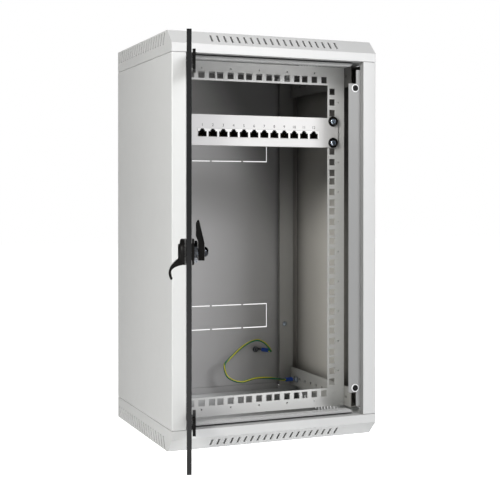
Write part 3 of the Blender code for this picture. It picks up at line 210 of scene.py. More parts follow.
def powder_coat(name, color, roughness=0.42, painted_shades=(), inner_lit_color=None):
    """Baked powder paint: fine grain over a slow orange peel, with a slow random tone and painted shades that
    scale its color, and an optional warmer inner color that is painted light.
    """
    made, tree, shader, place = new_material(name, color, roughness)
    patches = noise(tree, place, PAINT_PATCHES, 3.0)
    tone = spread(tree, patches, 1.0 - PAINT_VARIATION, 1.0 + PAINT_VARIATION)
    # The tone is a slow random variation times the painted shades.
    for make_shade in painted_shades:
        tone = times(tree, tone, make_shade(tree, place))
    coat = color
    # Inner faces of the side walls take the inner color: painted light, a warmer and lighter grey standing in for
    # the warm lamps that reach them.
    if inner_lit_color:
        mix = add_node(tree, "ShaderNodeMix", {"Factor": side_inside(tree, place)}, data_type="VECTOR")
        mix.inputs["A"].default_value = color
        mix.inputs["B"].default_value = inner_lit_color
        coat = mix.outputs["Result"]
    scaled = add_node(tree, "ShaderNodeVectorMath", {0: coat, "Scale": tone}, operation="SCALE")
    tree.links.new(scaled.outputs["Vector"], shader.inputs["Base Color"])
    vary_roughness(tree, shader, place, 55.0, roughness, 0.05)
    grain = noise(tree, place, GRAIN[0], 1.5)
    peel = noise(tree, place, PEEL[0], 1.0)
    add_bumps(tree, shader, [(peel, *PEEL[1:]), (grain, *GRAIN[1:])])
    return made


def door_rest_tone(tree, place):
    """Painted shade: the recessed faces round the opening, where the door rests, are darker."""
    low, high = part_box("side_shell_left")
    middle = (low.z + high.z) / 2
    centre = (0.0, low.y + HALF_SHEET + REST_RECESS / 2, middle)
    reach = (-low.x - HALF_SHEET, REST_RECESS / 2, high.z - middle + 2 * HALF_SHEET)
    return blend_to(tree, box_mask(tree, place, centre, reach), REST_SHADE_SHARE)


def side_inside(tree, place):
    """1 on the inner faces of the side walls, behind the door rest."""
    low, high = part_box("side_shell_left")
    front = low.y + REST_RECESS
    middle = (low.z + high.z) / 2
    centre = (0.0, (front + high.y) / 2, middle)
    reach = (-low.x - HALF_SHEET, (high.y - front) / 2, high.z - middle)
    return box_mask(tree, place, centre, reach)


def side_inside_tone(tree, place):
    """Painted shade: the inner faces of the side walls are darker towards the roof and in their corners."""
    share = times(tree, crevices(tree, 0.05, 0.3, False), top_shade(tree, place, *SIDE_SHADE))
    return blend_to(tree, side_inside(tree, place), share)


def rear_tone(tree, place):
    """Painted shade: the rear panel darkens in its corners and towards the roof and the lock side."""
    return times(tree, crevices(tree, 0.06, 0.22, False), top_shade(tree, place, *REAR_SHADE))


def post_tone(tree, place):
    """Painted shade: posts and rails darken in corners and towards the roof."""
    return times(tree, crevices(tree, 0.04, 0.35, False), top_shade(tree, place, *SIDE_SHADE))


def frame_tone(tree, place):
    """Painted shade: the rack frame is a little darker in its corners."""
    return crevices(tree, 0.05, 0.55, False)


def cover_tone(tree, place):
    """Painted shade: the covers are dark only inside their slots and folds."""
    return crevices(tree, 0.03, 0.03, True)


def moulded_plastic(name, color, roughness, gloss=0.5, grain_scale=2600.0, grain_depth=0.00002):
    """Moulded plastic with a spark-eroded grain and a faintly uneven sheen."""
    made, tree, shader, place = new_material(name, color, roughness)
    shader.inputs["Specular IOR Level"].default_value = gloss
    vary_color(tree, shader, place, color, 60.0, 0.05)
    vary_roughness(tree, shader, place, 180.0, roughness, 0.07)
    grain = noise(tree, place, grain_scale, 2.0)
    add_bumps(tree, shader, [(grain, 0.4, grain_depth)])
    return made


def soft_rubber(name, color):
    """Matt rubber with an uneven, faintly rough skin."""
    made, tree, shader, place = new_material(name, color, 0.72)
    shader.inputs["Specular IOR Level"].default_value = 0.2
    vary_color(tree, shader, place, color, 300.0, 0.18)
    vary_roughness(tree, shader, place, 500.0, 0.72, 0.08)
    add_bumps(tree, shader, [(noise(tree, place, 1500.0, 3.0), 0.5, 0.00004)])
    return made


def plated_steel(name, dark, light, roughness):
    """Bare or plated metal: a tint that drifts over the surface, with fine drawing marks."""
    made, tree, shader, place = new_material(name, light, roughness, metallic=1.0)
    blotch = spread(tree, noise(tree, place, 420.0, 2.0), 0.0, 1.0)
    mix = add_node(tree, "ShaderNodeMix", {"Factor": blotch}, data_type="RGBA")
    mix.inputs["A"].default_value = (*dark, 1.0)
    mix.inputs["B"].default_value = (*light, 1.0)
    tree.links.new(mix.outputs["Result"], shader.inputs["Base Color"])
    vary_roughness(tree, shader, place, 900.0, roughness, 0.08)
    stretch = add_node(tree, "ShaderNodeMapping", {"Vector": place, "Scale": (1.0, 0.15, 1.0)})
    marks = noise(tree, stretch.outputs["Vector"], 6000.0, 1.0)
    add_bumps(tree, shader, [(marks, 0.25, 0.000015)])
    return made


def tinted_glass(name):
    """Lightly tinted see-through pane. Its ground edges look nearly black."""
    made, tree, shader, place = new_material(name, (0.016, 0.0163, 0.0168), 0.16)
    shader.inputs["Specular IOR Level"].default_value = 0.25
    vary_roughness(tree, shader, place, 30.0, 0.10, 0.03)
    add_bumps(tree, shader, [(noise(tree, place, 14.0, 1.0), 0.05, 0.0002)])
    across = (DOOR.to_3x3() @ Vector((0.0, 1.0, 0.0))).normalized()
    normal = add_node(tree, "ShaderNodeTexCoord").outputs["Normal"]
    facing = add_node(tree, "ShaderNodeVectorMath", {0: normal, 1: across}, operation="DOT_PRODUCT")
    flat = add_node(tree, "ShaderNodeMath", {0: facing.outputs["Value"]}, operation="ABSOLUTE")
    inputs = {"Value": flat.outputs["Value"], "From Min": 0.90, "From Max": 0.99}
    on_face = add_node(tree, "ShaderNodeMapRange", inputs).outputs["Result"]
    clear = add_node(tree, "ShaderNodeBsdfTransparent", {"Color": (*PANE_TINT, 1.0)})
    sheen = add_node(tree, "ShaderNodeBsdfGlossy", {"Roughness": 0.02, "Color": (1.0, 1.0, 1.0, 1.0)})
    leaving = add_node(tree, "ShaderNodeNewGeometry").outputs["Backfacing"]
    index_inputs = {"Value": leaving, "To Min": PANE_INDEX, "To Max": 1 / PANE_INDEX}
    index = add_node(tree, "ShaderNodeMapRange", index_inputs)
    fresnel = add_node(tree, "ShaderNodeFresnel", {"IOR": index.outputs["Result"]}).outputs["Fac"]
    face_inputs = {0: fresnel, 1: clear.outputs["BSDF"], 2: sheen.outputs["BSDF"]}
    face = add_node(tree, "ShaderNodeMixShader", face_inputs)
    whole_inputs = {0: on_face, 1: shader.outputs["BSDF"], 2: face.outputs["Shader"]}
    whole = add_node(tree, "ShaderNodeMixShader", whole_inputs)
    tree.links.new(whole.outputs["Shader"], tree.nodes["Material Output"].inputs["Surface"])
    return made


def striped_sleeve(name, base, stripe, share):
    """Two-colour wire sleeve with two opposite stripes; UV x goes once round it."""
    made, tree, shader, place = new_material(name, base, 0.42)
    uv = add_node(tree, "ShaderNodeUVMap").outputs["UV"]
    around = add_node(tree, "ShaderNodeSeparateXYZ", {0: uv}).outputs["X"]
    twice = times(tree, around, 2.0)
    turn = add_node(tree, "ShaderNodeMath", {0: twice}, operation="FRACT").outputs["Value"]
    inside = add_node(tree, "ShaderNodeMath", {0: turn, 1: share}, operation="LESS_THAN")
    mix = add_node(tree, "ShaderNodeMix", {"Factor": inside.outputs["Value"]}, data_type="RGBA")
    mix.inputs["A"].default_value = (*base, 1.0)
    mix.inputs["B"].default_value = (*stripe, 1.0)
    tree.links.new(mix.outputs["Result"], shader.inputs["Base Color"])
    vary_roughness(tree, shader, place, 400.0, 0.40, 0.06)
    add_bumps(tree, shader, [(noise(tree, place, 1800.0, 2.0), 0.3, 0.00002)])
    return made


SHELL_GREY = (0.585, 0.592, 0.588)
# Warmer, lighter grey for the inner faces of the side walls: painted light for the warm lamps that reach them.
INNER_WARM_LIT_GREY = (0.64, 0.62, 0.575)
# Painted shades on the shell: the door rest and the inner side walls.
SHELL_PAINTED_SHADES = (door_rest_tone, side_inside_tone)

LOOKS = {
    "shell_paint": powder_coat("shell_paint", SHELL_GREY, 0.40, SHELL_PAINTED_SHADES, INNER_WARM_LIT_GREY),
    "cover_paint": powder_coat("cover_paint", SHELL_GREY, 0.40, (cover_tone,)),
    "frame_paint": powder_coat("frame_paint", (0.70, 0.705, 0.69), 0.45, (frame_tone,)),
    "rear_paint": powder_coat("rear_paint", (0.46, 0.458, 0.456), 0.45, (rear_tone,)),
    "post_paint": powder_coat("post_paint", (0.48, 0.475, 0.455), 0.45, (post_tone,)),
    "panel_paint": powder_coat("panel_paint", (0.68, 0.677, 0.67), 0.42),
    "white_plastic": moulded_plastic("white_plastic", (0.86, 0.86, 0.84), 0.35),
    "collar_plastic": moulded_plastic("collar_plastic", (0.85, 0.86, 0.86), 0.45),
    "black_plastic": moulded_plastic(
        "black_plastic", (0.0055, 0.0052, 0.0050), 0.38, gloss=0.10, grain_scale=1800.0, grain_depth=0.00004
    ),
    "black_rubber": soft_rubber("black_rubber", (0.009, 0.009, 0.0095)),
    "tinted_glass": tinted_glass("tinted_glass"),
    "zinc_plate": plated_steel("zinc_plate", (0.42, 0.50, 0.62), (0.70, 0.76, 0.84), 0.22),
    "spring_steel": plated_steel("spring_steel", (0.40, 0.41, 0.42), (0.56, 0.56, 0.56), 0.38),
    "blue_plastic": moulded_plastic("blue_plastic", (0.012, 0.075, 0.42), 0.35),
    "earth_green": striped_sleeve("earth_green", (0.012, 0.17, 0.075), (0.62, 0.56, 0.02), 0.34),
    "dark_zinc": plated_steel("dark_zinc", (0.10, 0.11, 0.13), (0.40, 0.42, 0.45), 0.13),
    "blued_steel": plated_steel("blued_steel", (0.016, 0.018, 0.022), (0.055, 0.060, 0.068), 0.09),
    "port_black": moulded_plastic("port_black", (0.004, 0.004, 0.004), 0.5, 0.1),
    "contact_gold": plated_steel("contact_gold", (0.75, 0.52, 0.18), (0.95, 0.72, 0.32), 0.25),
    "print_grey": moulded_plastic("print_grey", (0.035, 0.035, 0.038), 0.6, 0.1),
}


def dress(piece, slot, look=None):
    """Gives a piece its material: its own look, or else the look of the slot that it belongs to."""
    piece.data.materials.clear()
    piece.data.materials.append(LOOKS[look or slot])


# ---------------------------------------------------------------- carried-over solids

EDGE = 0.0002

# Sheets with many holes keep plain edges, because rounding them marks the flat faces
PLAIN_EDGED = (
    "top_cover",
    "bottom_cover",
    "rack_frame",
    "patch_panel_plate",
    "rear_panel",
    "patch_panel_jacks",
)


def smooth_by_angle():
    """Node group that drops the stored normals and keeps only steep edges sharp."""
    group = bpy.data.node_groups.new("smooth_by_angle", "GeometryNodeTree")
    group.interface.new_socket("Geometry", in_out="INPUT", socket_type="NodeSocketGeometry")
    group.interface.new_socket("Geometry", in_out="OUTPUT", socket_type="NodeSocketGeometry")
    start = add_node(group, "NodeGroupInput").outputs["Geometry"]
    angle = add_node(group, "GeometryNodeInputMeshEdgeAngle").outputs["Unsigned Angle"]
    compared = {"A": angle, "B": SMOOTH_LIMIT}
    steep = add_node(group, "FunctionNodeCompare", compared, operation="GREATER_THAN")
    inputs = {"Mesh": start, "Remove Custom": True, "Edge Sharpness": steep.outputs["Result"]}
    normals = add_node(group, "GeometryNodeSetMeshNormal", inputs, mode="SHARPNESS")
    add_node(group, "NodeGroupOutput", {"Geometry": normals.outputs["Mesh"]})
    return group


SMOOTH_GROUP = smooth_by_angle()


def round_edges(piece, width, segments):
    """Rounds the steep edges by a small radius."""
    bevel = piece.modifiers.new("edges", "BEVEL")
    bevel.width = width
    bevel.segments = segments
    bevel.limit_method = "ANGLE"
    bevel.angle_limit = SMOOTH_LIMIT
    bevel.harden_normals = True


def soften(part):
    """Welds a solid's facets, smooths its curved faces and rounds its edges."""
    join = part.modifiers.new("join", "WELD")
    join.merge_threshold = 0.000005
    smooth = part.modifiers.new("smooth", "NODES")
    smooth.node_group = SMOOTH_GROUP
    round_edges(part, EDGE, 2)


OWN_LOOKS = {
    "top_cover": "cover_paint",
    "bottom_cover": "cover_paint",
    "rear_panel": "rear_paint",
    "rear_post_left": "post_paint",
    "rear_post_right": "post_paint",
    "depth_rail_upper_left": "post_paint",
    "depth_rail_upper_right": "post_paint",
    "depth_rail_lower_left": "post_paint",
    "depth_rail_lower_right": "post_paint",
    # The rear earth stud's nut and ring terminal take the darker zinc, a painted shade for the shadow they sit in.
    "earth_stud_nut": "dark_zinc",
    "ring_terminal_rear": "dark_zinc",
}


def dress_frame():
    """Every carried-over solid gets its slot's material, or its own."""
    slots = {entry["node"]: entry["material_slot"] for entry in frame["record"]["subparts"]}
    for name, part in NODES.items():
        dress(part, slots[name], OWN_LOOKS.get(name))
        if name not in PLAIN_EDGED:
            soften(part)


# ---------------------------------------------------------------- mesh helpers


def bmesh_to_piece(shape, name, body, slot, look=None, place=None):
    """Finishes a mesh as a piece that rides on a body."""
    bmesh.ops.recalc_face_normals(shape, faces=shape.faces)
    mesh = bpy.data.meshes.new(name)
    shape.to_mesh(mesh)
    shape.free()
    mesh.transform(place or Matrix.Identity(4))
    mesh.shade_smooth()
    mesh.set_sharp_from_angle(angle=SMOOTH_LIMIT)
    piece = bpy.data.objects.new(name, mesh)
    bpy.context.scene.collection.objects.link(piece)
    dress(piece, slot, look)
    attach(piece, body)
    return piece


def turned(profile, direction, closed=False):
    """Turned shape: the profile's points are (radius, distance along the direction)."""
    shape = bmesh.new()
    points = [shape.verts.new((radius, 0.0, along)) for radius, along in profile]
    pairs = list(zip(points, points[1:]))
    if closed:
        pairs.append((points[-1], points[0]))
    edges = [shape.edges.new(pair) for pair in pairs]
    bmesh.ops.spin(
        shape,
        geom=points + edges,
        cent=(0.0, 0.0, 0.0),
        axis=(0.0, 0.0, 1.0),
        angle=2 * math.pi,
        steps=ROUND,
        use_merge=True,
    )
    bmesh.ops.remove_doubles(shape, verts=shape.verts, dist=0.000001)
    turn = Vector(direction).to_track_quat("Z", "Y").to_matrix().to_4x4()
    bmesh.ops.transform(shape, matrix=turn, verts=shape.verts)
    return shape


def prism(outline, axis, low, high):
    """Prism with an outline in the plane across an axis, from low to high."""
    order = {"X": lambda u, v, w: (w, u, v), "Y": lambda u, v, w: (u, w, v)}
    shape = bmesh.new()
    corners = [shape.verts.new(order[axis](u, v, low)) for u, v in outline]
    face = shape.faces.new(corners)
    grown = bmesh.ops.extrude_face_region(shape, geom=[face], use_keep_orig=True)
    moved = [part for part in grown["geom"] if isinstance(part, bmesh.types.BMVert)]
    shift = Vector(order[axis](0.0, 0.0, high - low))
    bmesh.ops.translate(shape, verts=moved, vec=shift)
    return shape


def mirrored(half):
    """A closed outline from its right half, given from bottom to top."""
    return half + [(-across, up) for across, up in reversed(half)]


def merged(shapes):
    """One mesh out of several."""
    whole = bmesh.new()
    for shape in shapes:
        mesh = bpy.data.meshes.new("share")
        shape.to_mesh(mesh)
        shape.free()
        whole.from_mesh(mesh)
        bpy.data.meshes.remove(mesh)
    return whole


def use_tool(piece, shape, operation):
    """Cuts a shape from a piece, or joins it to the piece, at once."""
    bmesh.ops.recalc_face_normals(shape, faces=shape.faces)
    mesh = bpy.data.meshes.new("tool")
    shape.to_mesh(mesh)
    shape.free()
    tool = bpy.data.objects.new("tool", mesh)
    bpy.context.scene.collection.objects.link(tool)
    tool.matrix_world = piece.matrix_world
    modifier = piece.modifiers.new("tool", "BOOLEAN")
    modifier.operation = operation
    modifier.solver = "EXACT"
    modifier.object = tool
    apply_modifiers(piece)
    bpy.data.objects.remove(tool)
    piece.data.set_sharp_from_angle(angle=SMOOTH_LIMIT)


def apply_modifiers(piece):
    """Replaces the piece's mesh with what its modifiers make of it."""
    bpy.context.view_layer.update()
    graph = bpy.context.evaluated_depsgraph_get()
    made = bpy.data.meshes.new_from_object(piece.evaluated_get(graph))
    piece.modifiers.clear()
    piece.data = made


# ---------------------------------------------------------------- fine pieces: patch panel

PORT_COUNT = 12
PORT_PITCH = 0.0159
PORT_SHIFT = -0.0009
PORT_WIDTH = 0.0118
PORT_SILL = 0.0008

# Each step of the opening: its half width as a share of the whole width, and its top
PORT_STEPS = ((0.5, 0.0066), (0.27, 0.0086), (0.15, 0.0102))

LINER_DEPTH = 0.0135
LINER_GAP = 0.00004
LINER_WALL = 0.0006
LINER_FLOOR = 0.0012
LINER_FLANGE = 0.0005
LINER_PROUD = 0.00015
CONTACT_COUNT = 8
CONTACT_PITCH = 0.00102
CONTACT_WIDTH = 0.00045

# Where a contact starts and ends, as shares of the liner's depth
CONTACT_START = 0.30
CONTACT_END = 0.85

DIGIT_SIZE = 0.0056
DIGIT_RISE = 0.0033
DIGIT_PROUD = 0.00006


def port_places():
    """Middle of each port's lower edge on the jack strip's front face."""
    low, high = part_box("patch_panel_jacks")
    middle = (low.x + high.x) / 2 + PORT_SHIFT
    first = Vector((middle - (PORT_COUNT - 1) / 2 * PORT_PITCH, low.y, low.z + PORT_SILL))
    return [first + Vector((index * PORT_PITCH, 0.0, 0.0)) for index in range(PORT_COUNT)]


def port_outline(place, inset):
    """Stepped opening of a modular jack, drawn smaller by an inset."""
    right = []
    rise = inset
    for share, top in PORT_STEPS:
        right += [(share * PORT_WIDTH - inset, rise), (share * PORT_WIDTH - inset, top - inset)]
        rise = top - inset
    return [(place.x + across, place.z + up) for across, up in mirrored(right)]


def make_port_liners():
    """Black jack bodies that line the ports, open towards the front."""
    outer = []
    inner = []
    flanges = []
    for place in port_places():
        front = place.y
        back = front + LINER_DEPTH
        outer.append(prism(port_outline(place, LINER_GAP), "Y", front, back))
        rim = port_outline(place, -LINER_FLANGE)
        flanges.append(prism(rim, "Y", front - LINER_PROUD, front + LINER_GAP))
        hollow = port_outline(place, LINER_WALL)
        inner.append(prism(hollow, "Y", front - LINER_WALL, back - LINER_FLOOR))
    liners = bmesh_to_piece(merged(outer), "port_liners", "cabinet", "white_plastic", "port_black")
    use_tool(liners, merged(flanges), "UNION")
    use_tool(liners, merged(inner), "DIFFERENCE")


def make_port_contacts():
    """Eight spring contacts in each port, slanting from the roof towards the back."""
    wires = []
    reach = CONTACT_WIDTH / 2
    for place in port_places():
        low = place.z + PORT_SILL * 2
        high = place.z + PORT_STEPS[0][1] - LINER_WALL
        start = place.y + LINER_DEPTH * CONTACT_START
        end = place.y + LINER_DEPTH * CONTACT_END
        side = [(start, high), (start + CONTACT_WIDTH, high), (end, low + CONTACT_WIDTH), (end, low)]
        for index in range(CONTACT_COUNT):
            middle = place.x + (index - (CONTACT_COUNT - 1) / 2) * CONTACT_PITCH
            wires.append(prism(side, "X", middle - reach, middle + reach))
    bmesh_to_piece(merged(wires), "port_contacts", "cabinet", "spring_steel", "contact_gold")


def make_port_numbers():
    """Printed numbers above the ports."""
    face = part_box("patch_panel_plate")[0].y
    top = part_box("patch_panel_jacks")[1].z
    digits = []
    for number, place in enumerate(port_places(), start=1):
        text = bpy.data.curves.new("digits", "FONT")
        text.body = str(number)
        text.size = DIGIT_SIZE
        text.align_x = "CENTER"
        text.extrude = DIGIT_PROUD
        holder = bpy.data.objects.new("digits", text)
        shape = bmesh.new()
        shape.from_mesh(holder.to_mesh())
        upright = Matrix.Rotation(math.pi / 2, 4, "X")
        spot = Matrix.Translation((place.x, face, top + DIGIT_RISE))
        bmesh.ops.transform(shape, matrix=spot @ upright, verts=shape.verts)
        bpy.data.objects.remove(holder)
        digits.append(shape)
    bmesh_to_piece(merged(digits), "port_numbers", "cabinet", "panel_paint", "print_grey")


# ---------------------------------------------------------------- fine pieces: fasteners

# Turned profiles as (radius, height above the seat)
CUP_PROFILE = (
    (0.0034, 0.0),
    (0.0075, 0.0),
    (0.00765, 0.0002),
    (0.00765, 0.0011),
    (0.0074, 0.0019),
    (0.0069, 0.0026),
    (0.0063, 0.0030),
    (0.0058, 0.0029),
    (0.0053, 0.0013),
    (0.0034, 0.0010),
)

PAN_HEAD = (
    (0.0, 0.0026),
    (0.0014, 0.00257),
    (0.0027, 0.0024),
    (0.0037, 0.0020),
    (0.0044, 0.0014),
    (0.0048, 0.0007),
    (0.00485, 0.0),
)
SCREW_SHANK = 0.0028
RECESS_LENGTH = 0.0058
RECESS_WIDTH = 0.0013
RECESS_DEPTH = 0.0015
SCREW_TURN = math.radians(37)

BUMPER_PROFILE = (
    (0.0, 0.0016),
    (0.0008, 0.0016),
    (0.0014, 0.0019),
    (0.0019, 0.0024),
    (0.0024, 0.0026),
    (0.0030, 0.0026),
    (0.0037, 0.0022),
    (0.0041, 0.0016),
    (0.00415, 0.0008),
    (0.00415, 0.0),
    (0.0, 0.0),
)

COLLAR_PROFILE = (
    (0.0044, 0.0),
    (0.0058, 0.0),
    (0.0058, 0.0006),
    (0.0055, 0.00095),
    (0.0048, 0.0010),
    (0.0044, 0.0008),
)


def foot_of(node):
    """Middle of a front-facing fastener's rear end."""
    low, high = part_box(node)
    return Vector(((low.x + high.x) / 2, high.y, (low.z + high.z) / 2))


def cross_recess(low, high):
    """Cutter for a cross recess, from low to high along Y."""
    reach = RECESS_LENGTH / 2
    thin = RECESS_WIDTH / 2
    outline = []
    for turn in range(4):
        for u, v in ((thin, reach), (thin, thin), (reach, thin)):
            for _ in range(turn):
                u, v = v, -u
            outline.append((u, v))
    return prism(outline, "Y", low, high)


def make_panel_screw(number):
    """Pan head with a cross recess, in its cup washer."""
    cup_name = f"cup_washer_{number}"
    cup_place = Matrix.Translation(foot_of(cup_name))
    cup = turned(CUP_PROFILE, (0, -1, 0), closed=True)
    ring = bmesh_to_piece(cup, f"look_{cup_name}", "cabinet", "black_plastic", place=cup_place)
    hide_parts(cup_name)
    name = f"panel_screw_{number}"
    low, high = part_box(name)
    head_height = PAN_HEAD[0][1]
    seat = Vector(((low.x + high.x) / 2, low.y + head_height, (low.z + high.z) / 2))
    place = Matrix.Translation(seat) @ Matrix.Rotation(number * SCREW_TURN, 4, "Y")
    shank = [(SCREW_SHANK, 0.0), (SCREW_SHANK, seat.y - high.y), (0.0, seat.y - high.y)]
    screw = turned(list(PAN_HEAD) + shank, (0, -1, 0))
    piece = bmesh_to_piece(screw, f"look_{name}", "cabinet", "zinc_plate", place=place)
    recess = cross_recess(-2 * head_height, RECESS_DEPTH - head_height)
    bmesh.ops.transform(recess, matrix=place, verts=recess.verts)
    use_tool(piece, recess, "DIFFERENCE")
    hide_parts(name)


def make_bumper(end):
    """Dimpled rubber buffer in its collar."""
    collar_name = f"bumper_collar_{end}"
    place = Matrix.Translation(foot_of(collar_name))
    collar = turned(COLLAR_PROFILE, (0, -1, 0), closed=True)
    ring = bmesh_to_piece(collar, f"look_{collar_name}", "cabinet", "collar_plastic", place=place)
    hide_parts(collar_name)
    bumper = turned(BUMPER_PROFILE, (0, -1, 0))
    name = f"door_bumper_{end}"
    piece = bmesh_to_piece(bumper, f"look_{name}", "cabinet", "black_rubber", place=place)
    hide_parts(name)


# ---------------------------------------------------------------- fine pieces: earth wire

WIRE_RADIUS = 0.0018
WIRE_SIDES = 28
WIRE_STEPS = 14
STRIPE_DRIFT = 1.3
STRIPE_WANDER = 0.16
STRIPE_WAVES = 14.0

# Where the wire hangs between its boots
WIRE_LOOP = (
    (0.0870, 0.1120, 0.1050),
    (0.0720, 0.1130, 0.1103),
    (0.0480, 0.1070, 0.1034),
    (0.0170, 0.0992, 0.0826),
    (0.0095, 0.0952, 0.0745),
    (0.0130, 0.0892, 0.0578),
    (0.0332, 0.0852, 0.0493),
    (0.0591, 0.0852, 0.0537),
    (0.0870, 0.0892, 0.0515),
)

# The boot's turned profile as (radius, distance from its ring terminal)
BOOT_LENGTH = 0.012
BOOT_PROFILE = (
    (0.0019, 0.0),
    (0.0030, 0.0),
    (0.0033, 0.0004),
    (0.0033, 0.0045),
    (0.0030, 0.0052),
    (0.0030, 0.0060),
    (0.0033, 0.0067),
    (0.0033, 0.0116),
    (0.0030, 0.0120),
    (0.0019, 0.0120),
)

# Directions in which the boots point, and how far the wire reaches into them
REAR_BOOT = Vector((0.60, -0.80, -0.05)).normalized()
RAIL_BOOT = Vector((-1.0, 0.0, 0.0))
WIRE_LEAD = 0.0015


def smooth_path(points, steps):
    """Points of a Catmull-Rom curve through the given ones."""
    ends = [2 * points[0] - points[1]] + points + [2 * points[-1] - points[-2]]
    path = []
    for before, start, stop, after in zip(ends, ends[1:], ends[2:], ends[3:]):
        for step in range(steps):
            t = step / steps
            cubic = (3 * start - before - 3 * stop + after) * t**3
            square = (2 * before - 5 * start + 4 * stop - after) * t**2
            path.append((cubic + square + (stop - before) * t + 2 * start) / 2)
    path.append(points[-1])
    return path


def swept_tube(path, radius, sides):
    """Round tube along a path; its UV x goes once round it and drifts along it."""
    shape = bmesh.new()
    layer = shape.loops.layers.uv.new("UVMap")
    neighbours = zip(path[:1] + path, path[1:] + path[-1:])
    tangents = [(after - before).normalized() for before, after in neighbours]
    across = tangents[0].orthogonal().normalized()
    rings = []
    drift = []
    for index, (point, along) in enumerate(zip(path, tangents)):
        across = (across - along * across.dot(along)).normalized()
        upward = along.cross(across)
        ring = []
        for side in range(sides):
            angle = 2 * math.pi * side / sides
            offset = across * math.cos(angle) + upward * math.sin(angle)
            ring.append(shape.verts.new(point + radius * offset))
        rings.append(ring)
        share = index / (len(path) - 1)
        drift.append(STRIPE_DRIFT * share + STRIPE_WANDER * math.sin(STRIPE_WAVES * share))
    for index, (near, far) in enumerate(zip(rings, rings[1:])):
        for side in range(sides):
            following = (side + 1) % sides
            face = shape.faces.new((near[side], near[following], far[following], far[side]))
            turns = (side, side + 1, side + 1, side)
            drifts = (drift[index], drift[index], drift[index + 1], drift[index + 1])
            for loop, turn, shift in zip(face.loops, turns, drifts):
                loop[layer].uv = (turn / sides + shift, index / len(rings))
    shape.faces.new(rings[0])
    shape.faces.new(rings[-1])
    return shape


def make_earth_wire():
    """Two boots and the striped wire that hangs between them."""
    tips = {}
    for end, direction in (("rear", REAR_BOOT), ("rail", RAIL_BOOT)):
        name = f"terminal_boot_{end}"
        low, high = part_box(name)
        start = (low + high) / 2 - direction * BOOT_LENGTH / 2
        place = Matrix.Translation(start)
        boot = turned(BOOT_PROFILE, direction, closed=True)
        piece = bmesh_to_piece(boot, f"look_{name}", "cabinet", "blue_plastic", place=place)
        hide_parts(name)
        tips[end] = start + direction * BOOT_LENGTH
    points = [tips["rear"] - REAR_BOOT * WIRE_LEAD, tips["rear"] + REAR_BOOT * 3 * WIRE_LEAD]
    points += [Vector(point) for point in WIRE_LOOP]
    points += [tips["rail"] + RAIL_BOOT * 3 * WIRE_LEAD, tips["rail"] - RAIL_BOOT * WIRE_LEAD]
    tube = swept_tube(smooth_path(points, WIRE_STEPS), WIRE_RADIUS, WIRE_SIDES)
    wire = bmesh_to_piece(tube, "look_earth_wire", "cabinet", "earth_green")
    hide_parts("earth_wire")


# ---------------------------------------------------------------- fine pieces: lock

# All in the lock's own frame: y along its axis, positive behind the pane, and z upwards
HUB_RADIUS = 0.0150
HUB_BORE = 0.0097
HUB_BACK = -0.00485
HUB_FLOOR = -0.00645
HUB_FRONT = -0.0108

# Points of the rounded front edge as (inward from the rim, back from the front)
HUB_SHOULDER = ((0.0, 0.0022), (0.0006, 0.0010), (0.0020, 0.0002), (0.0035, 0.0))

# Control points of the lever's two curved sides as (y, z)
LEVER_BACK = ((-0.0050, -0.0140), (-0.0240, -0.0170), (-0.0215, -0.0240), (-0.0190, -0.0305))
LEVER_FACE = ((-0.0105, -0.0060), (-0.0230, -0.0150), (-0.0262, -0.0225), (-0.0208, -0.0316))

LEVER_HALF_WIDTH = 0.0085
LEVER_TAPER = 0.22
LEVER_TAPER_START = 0.012
LEVER_TAPER_LENGTH = 0.018
LEVER_STEPS = 24
LEVER_EDGE = 0.0008

NUT_ACROSS = 0.0220
NUT_NEAR = 0.00585
NUT_FAR = 0.00945
NUT_CHAMFER = 0.0012
NUT_EDGE = 0.0002
BARREL_RADIUS = 0.0097

CAM_NEAR = 0.0099
CAM_FAR = 0.0172
CAM_HALF_WIDTH = 0.009
CAM_EDGE = 0.0007

# Side view of the bent cam as (y, z)
CAM_OUTLINE = (
    (CAM_NEAR, -0.0095),
    (CAM_FAR, -0.0095),
    (CAM_FAR, 0.0100),
    (0.0116, 0.0345),
    (0.0111, 0.0358),
    (0.0102, 0.0364),
    (0.0092, 0.0360),
    (0.0077, 0.0330),
    (0.0074, 0.0300),
    (0.0074, 0.0180),
    (CAM_NEAR, 0.0120),
)

# The cam narrows by CAM_TAPER over CAM_REACH
CAM_TAPER = 0.35
CAM_REACH = 0.0365

DOME_RADIUS = 0.0059
DOME_HEIGHT = 0.0046
DOME_GAP = 0.0002
DOME_STEPS = 10
DOME_RECESS = 0.6

# How far a tool reaches past the face it cuts
OVERCUT = 0.0001


def bezier_point(points, t):
    """Point of a cubic Bezier curve in the plane."""
    s = 1.0 - t
    weights = (s**3, 3 * s * s * t, 3 * s * t * t, t**3)
    return tuple(sum(weight * point[axis] for weight, point in zip(weights, points)) for axis in (0, 1))


def lever_outline():
    """Side view of the hooked lever as (y, z)."""
    shares = [index / LEVER_STEPS for index in range(LEVER_STEPS + 1)]
    face = [bezier_point(LEVER_FACE, share) for share in shares]
    back = [bezier_point(LEVER_BACK, share) for share in reversed(shares)]
    return face + back


def lock_piece(shape, node, body, slot, look=None):
    """Stands a finer shape at the lock in place of a solid."""
    piece = bmesh_to_piece(shape, f"look_{node}", body, slot, look, LOCK)
    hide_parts(node)
    return piece


def use_lock_tool(piece, shape, operation):
    """Uses a tool that is given in the lock's own frame."""
    bmesh.ops.transform(shape, matrix=LOCK, verts=shape.verts)
    use_tool(piece, shape, operation)


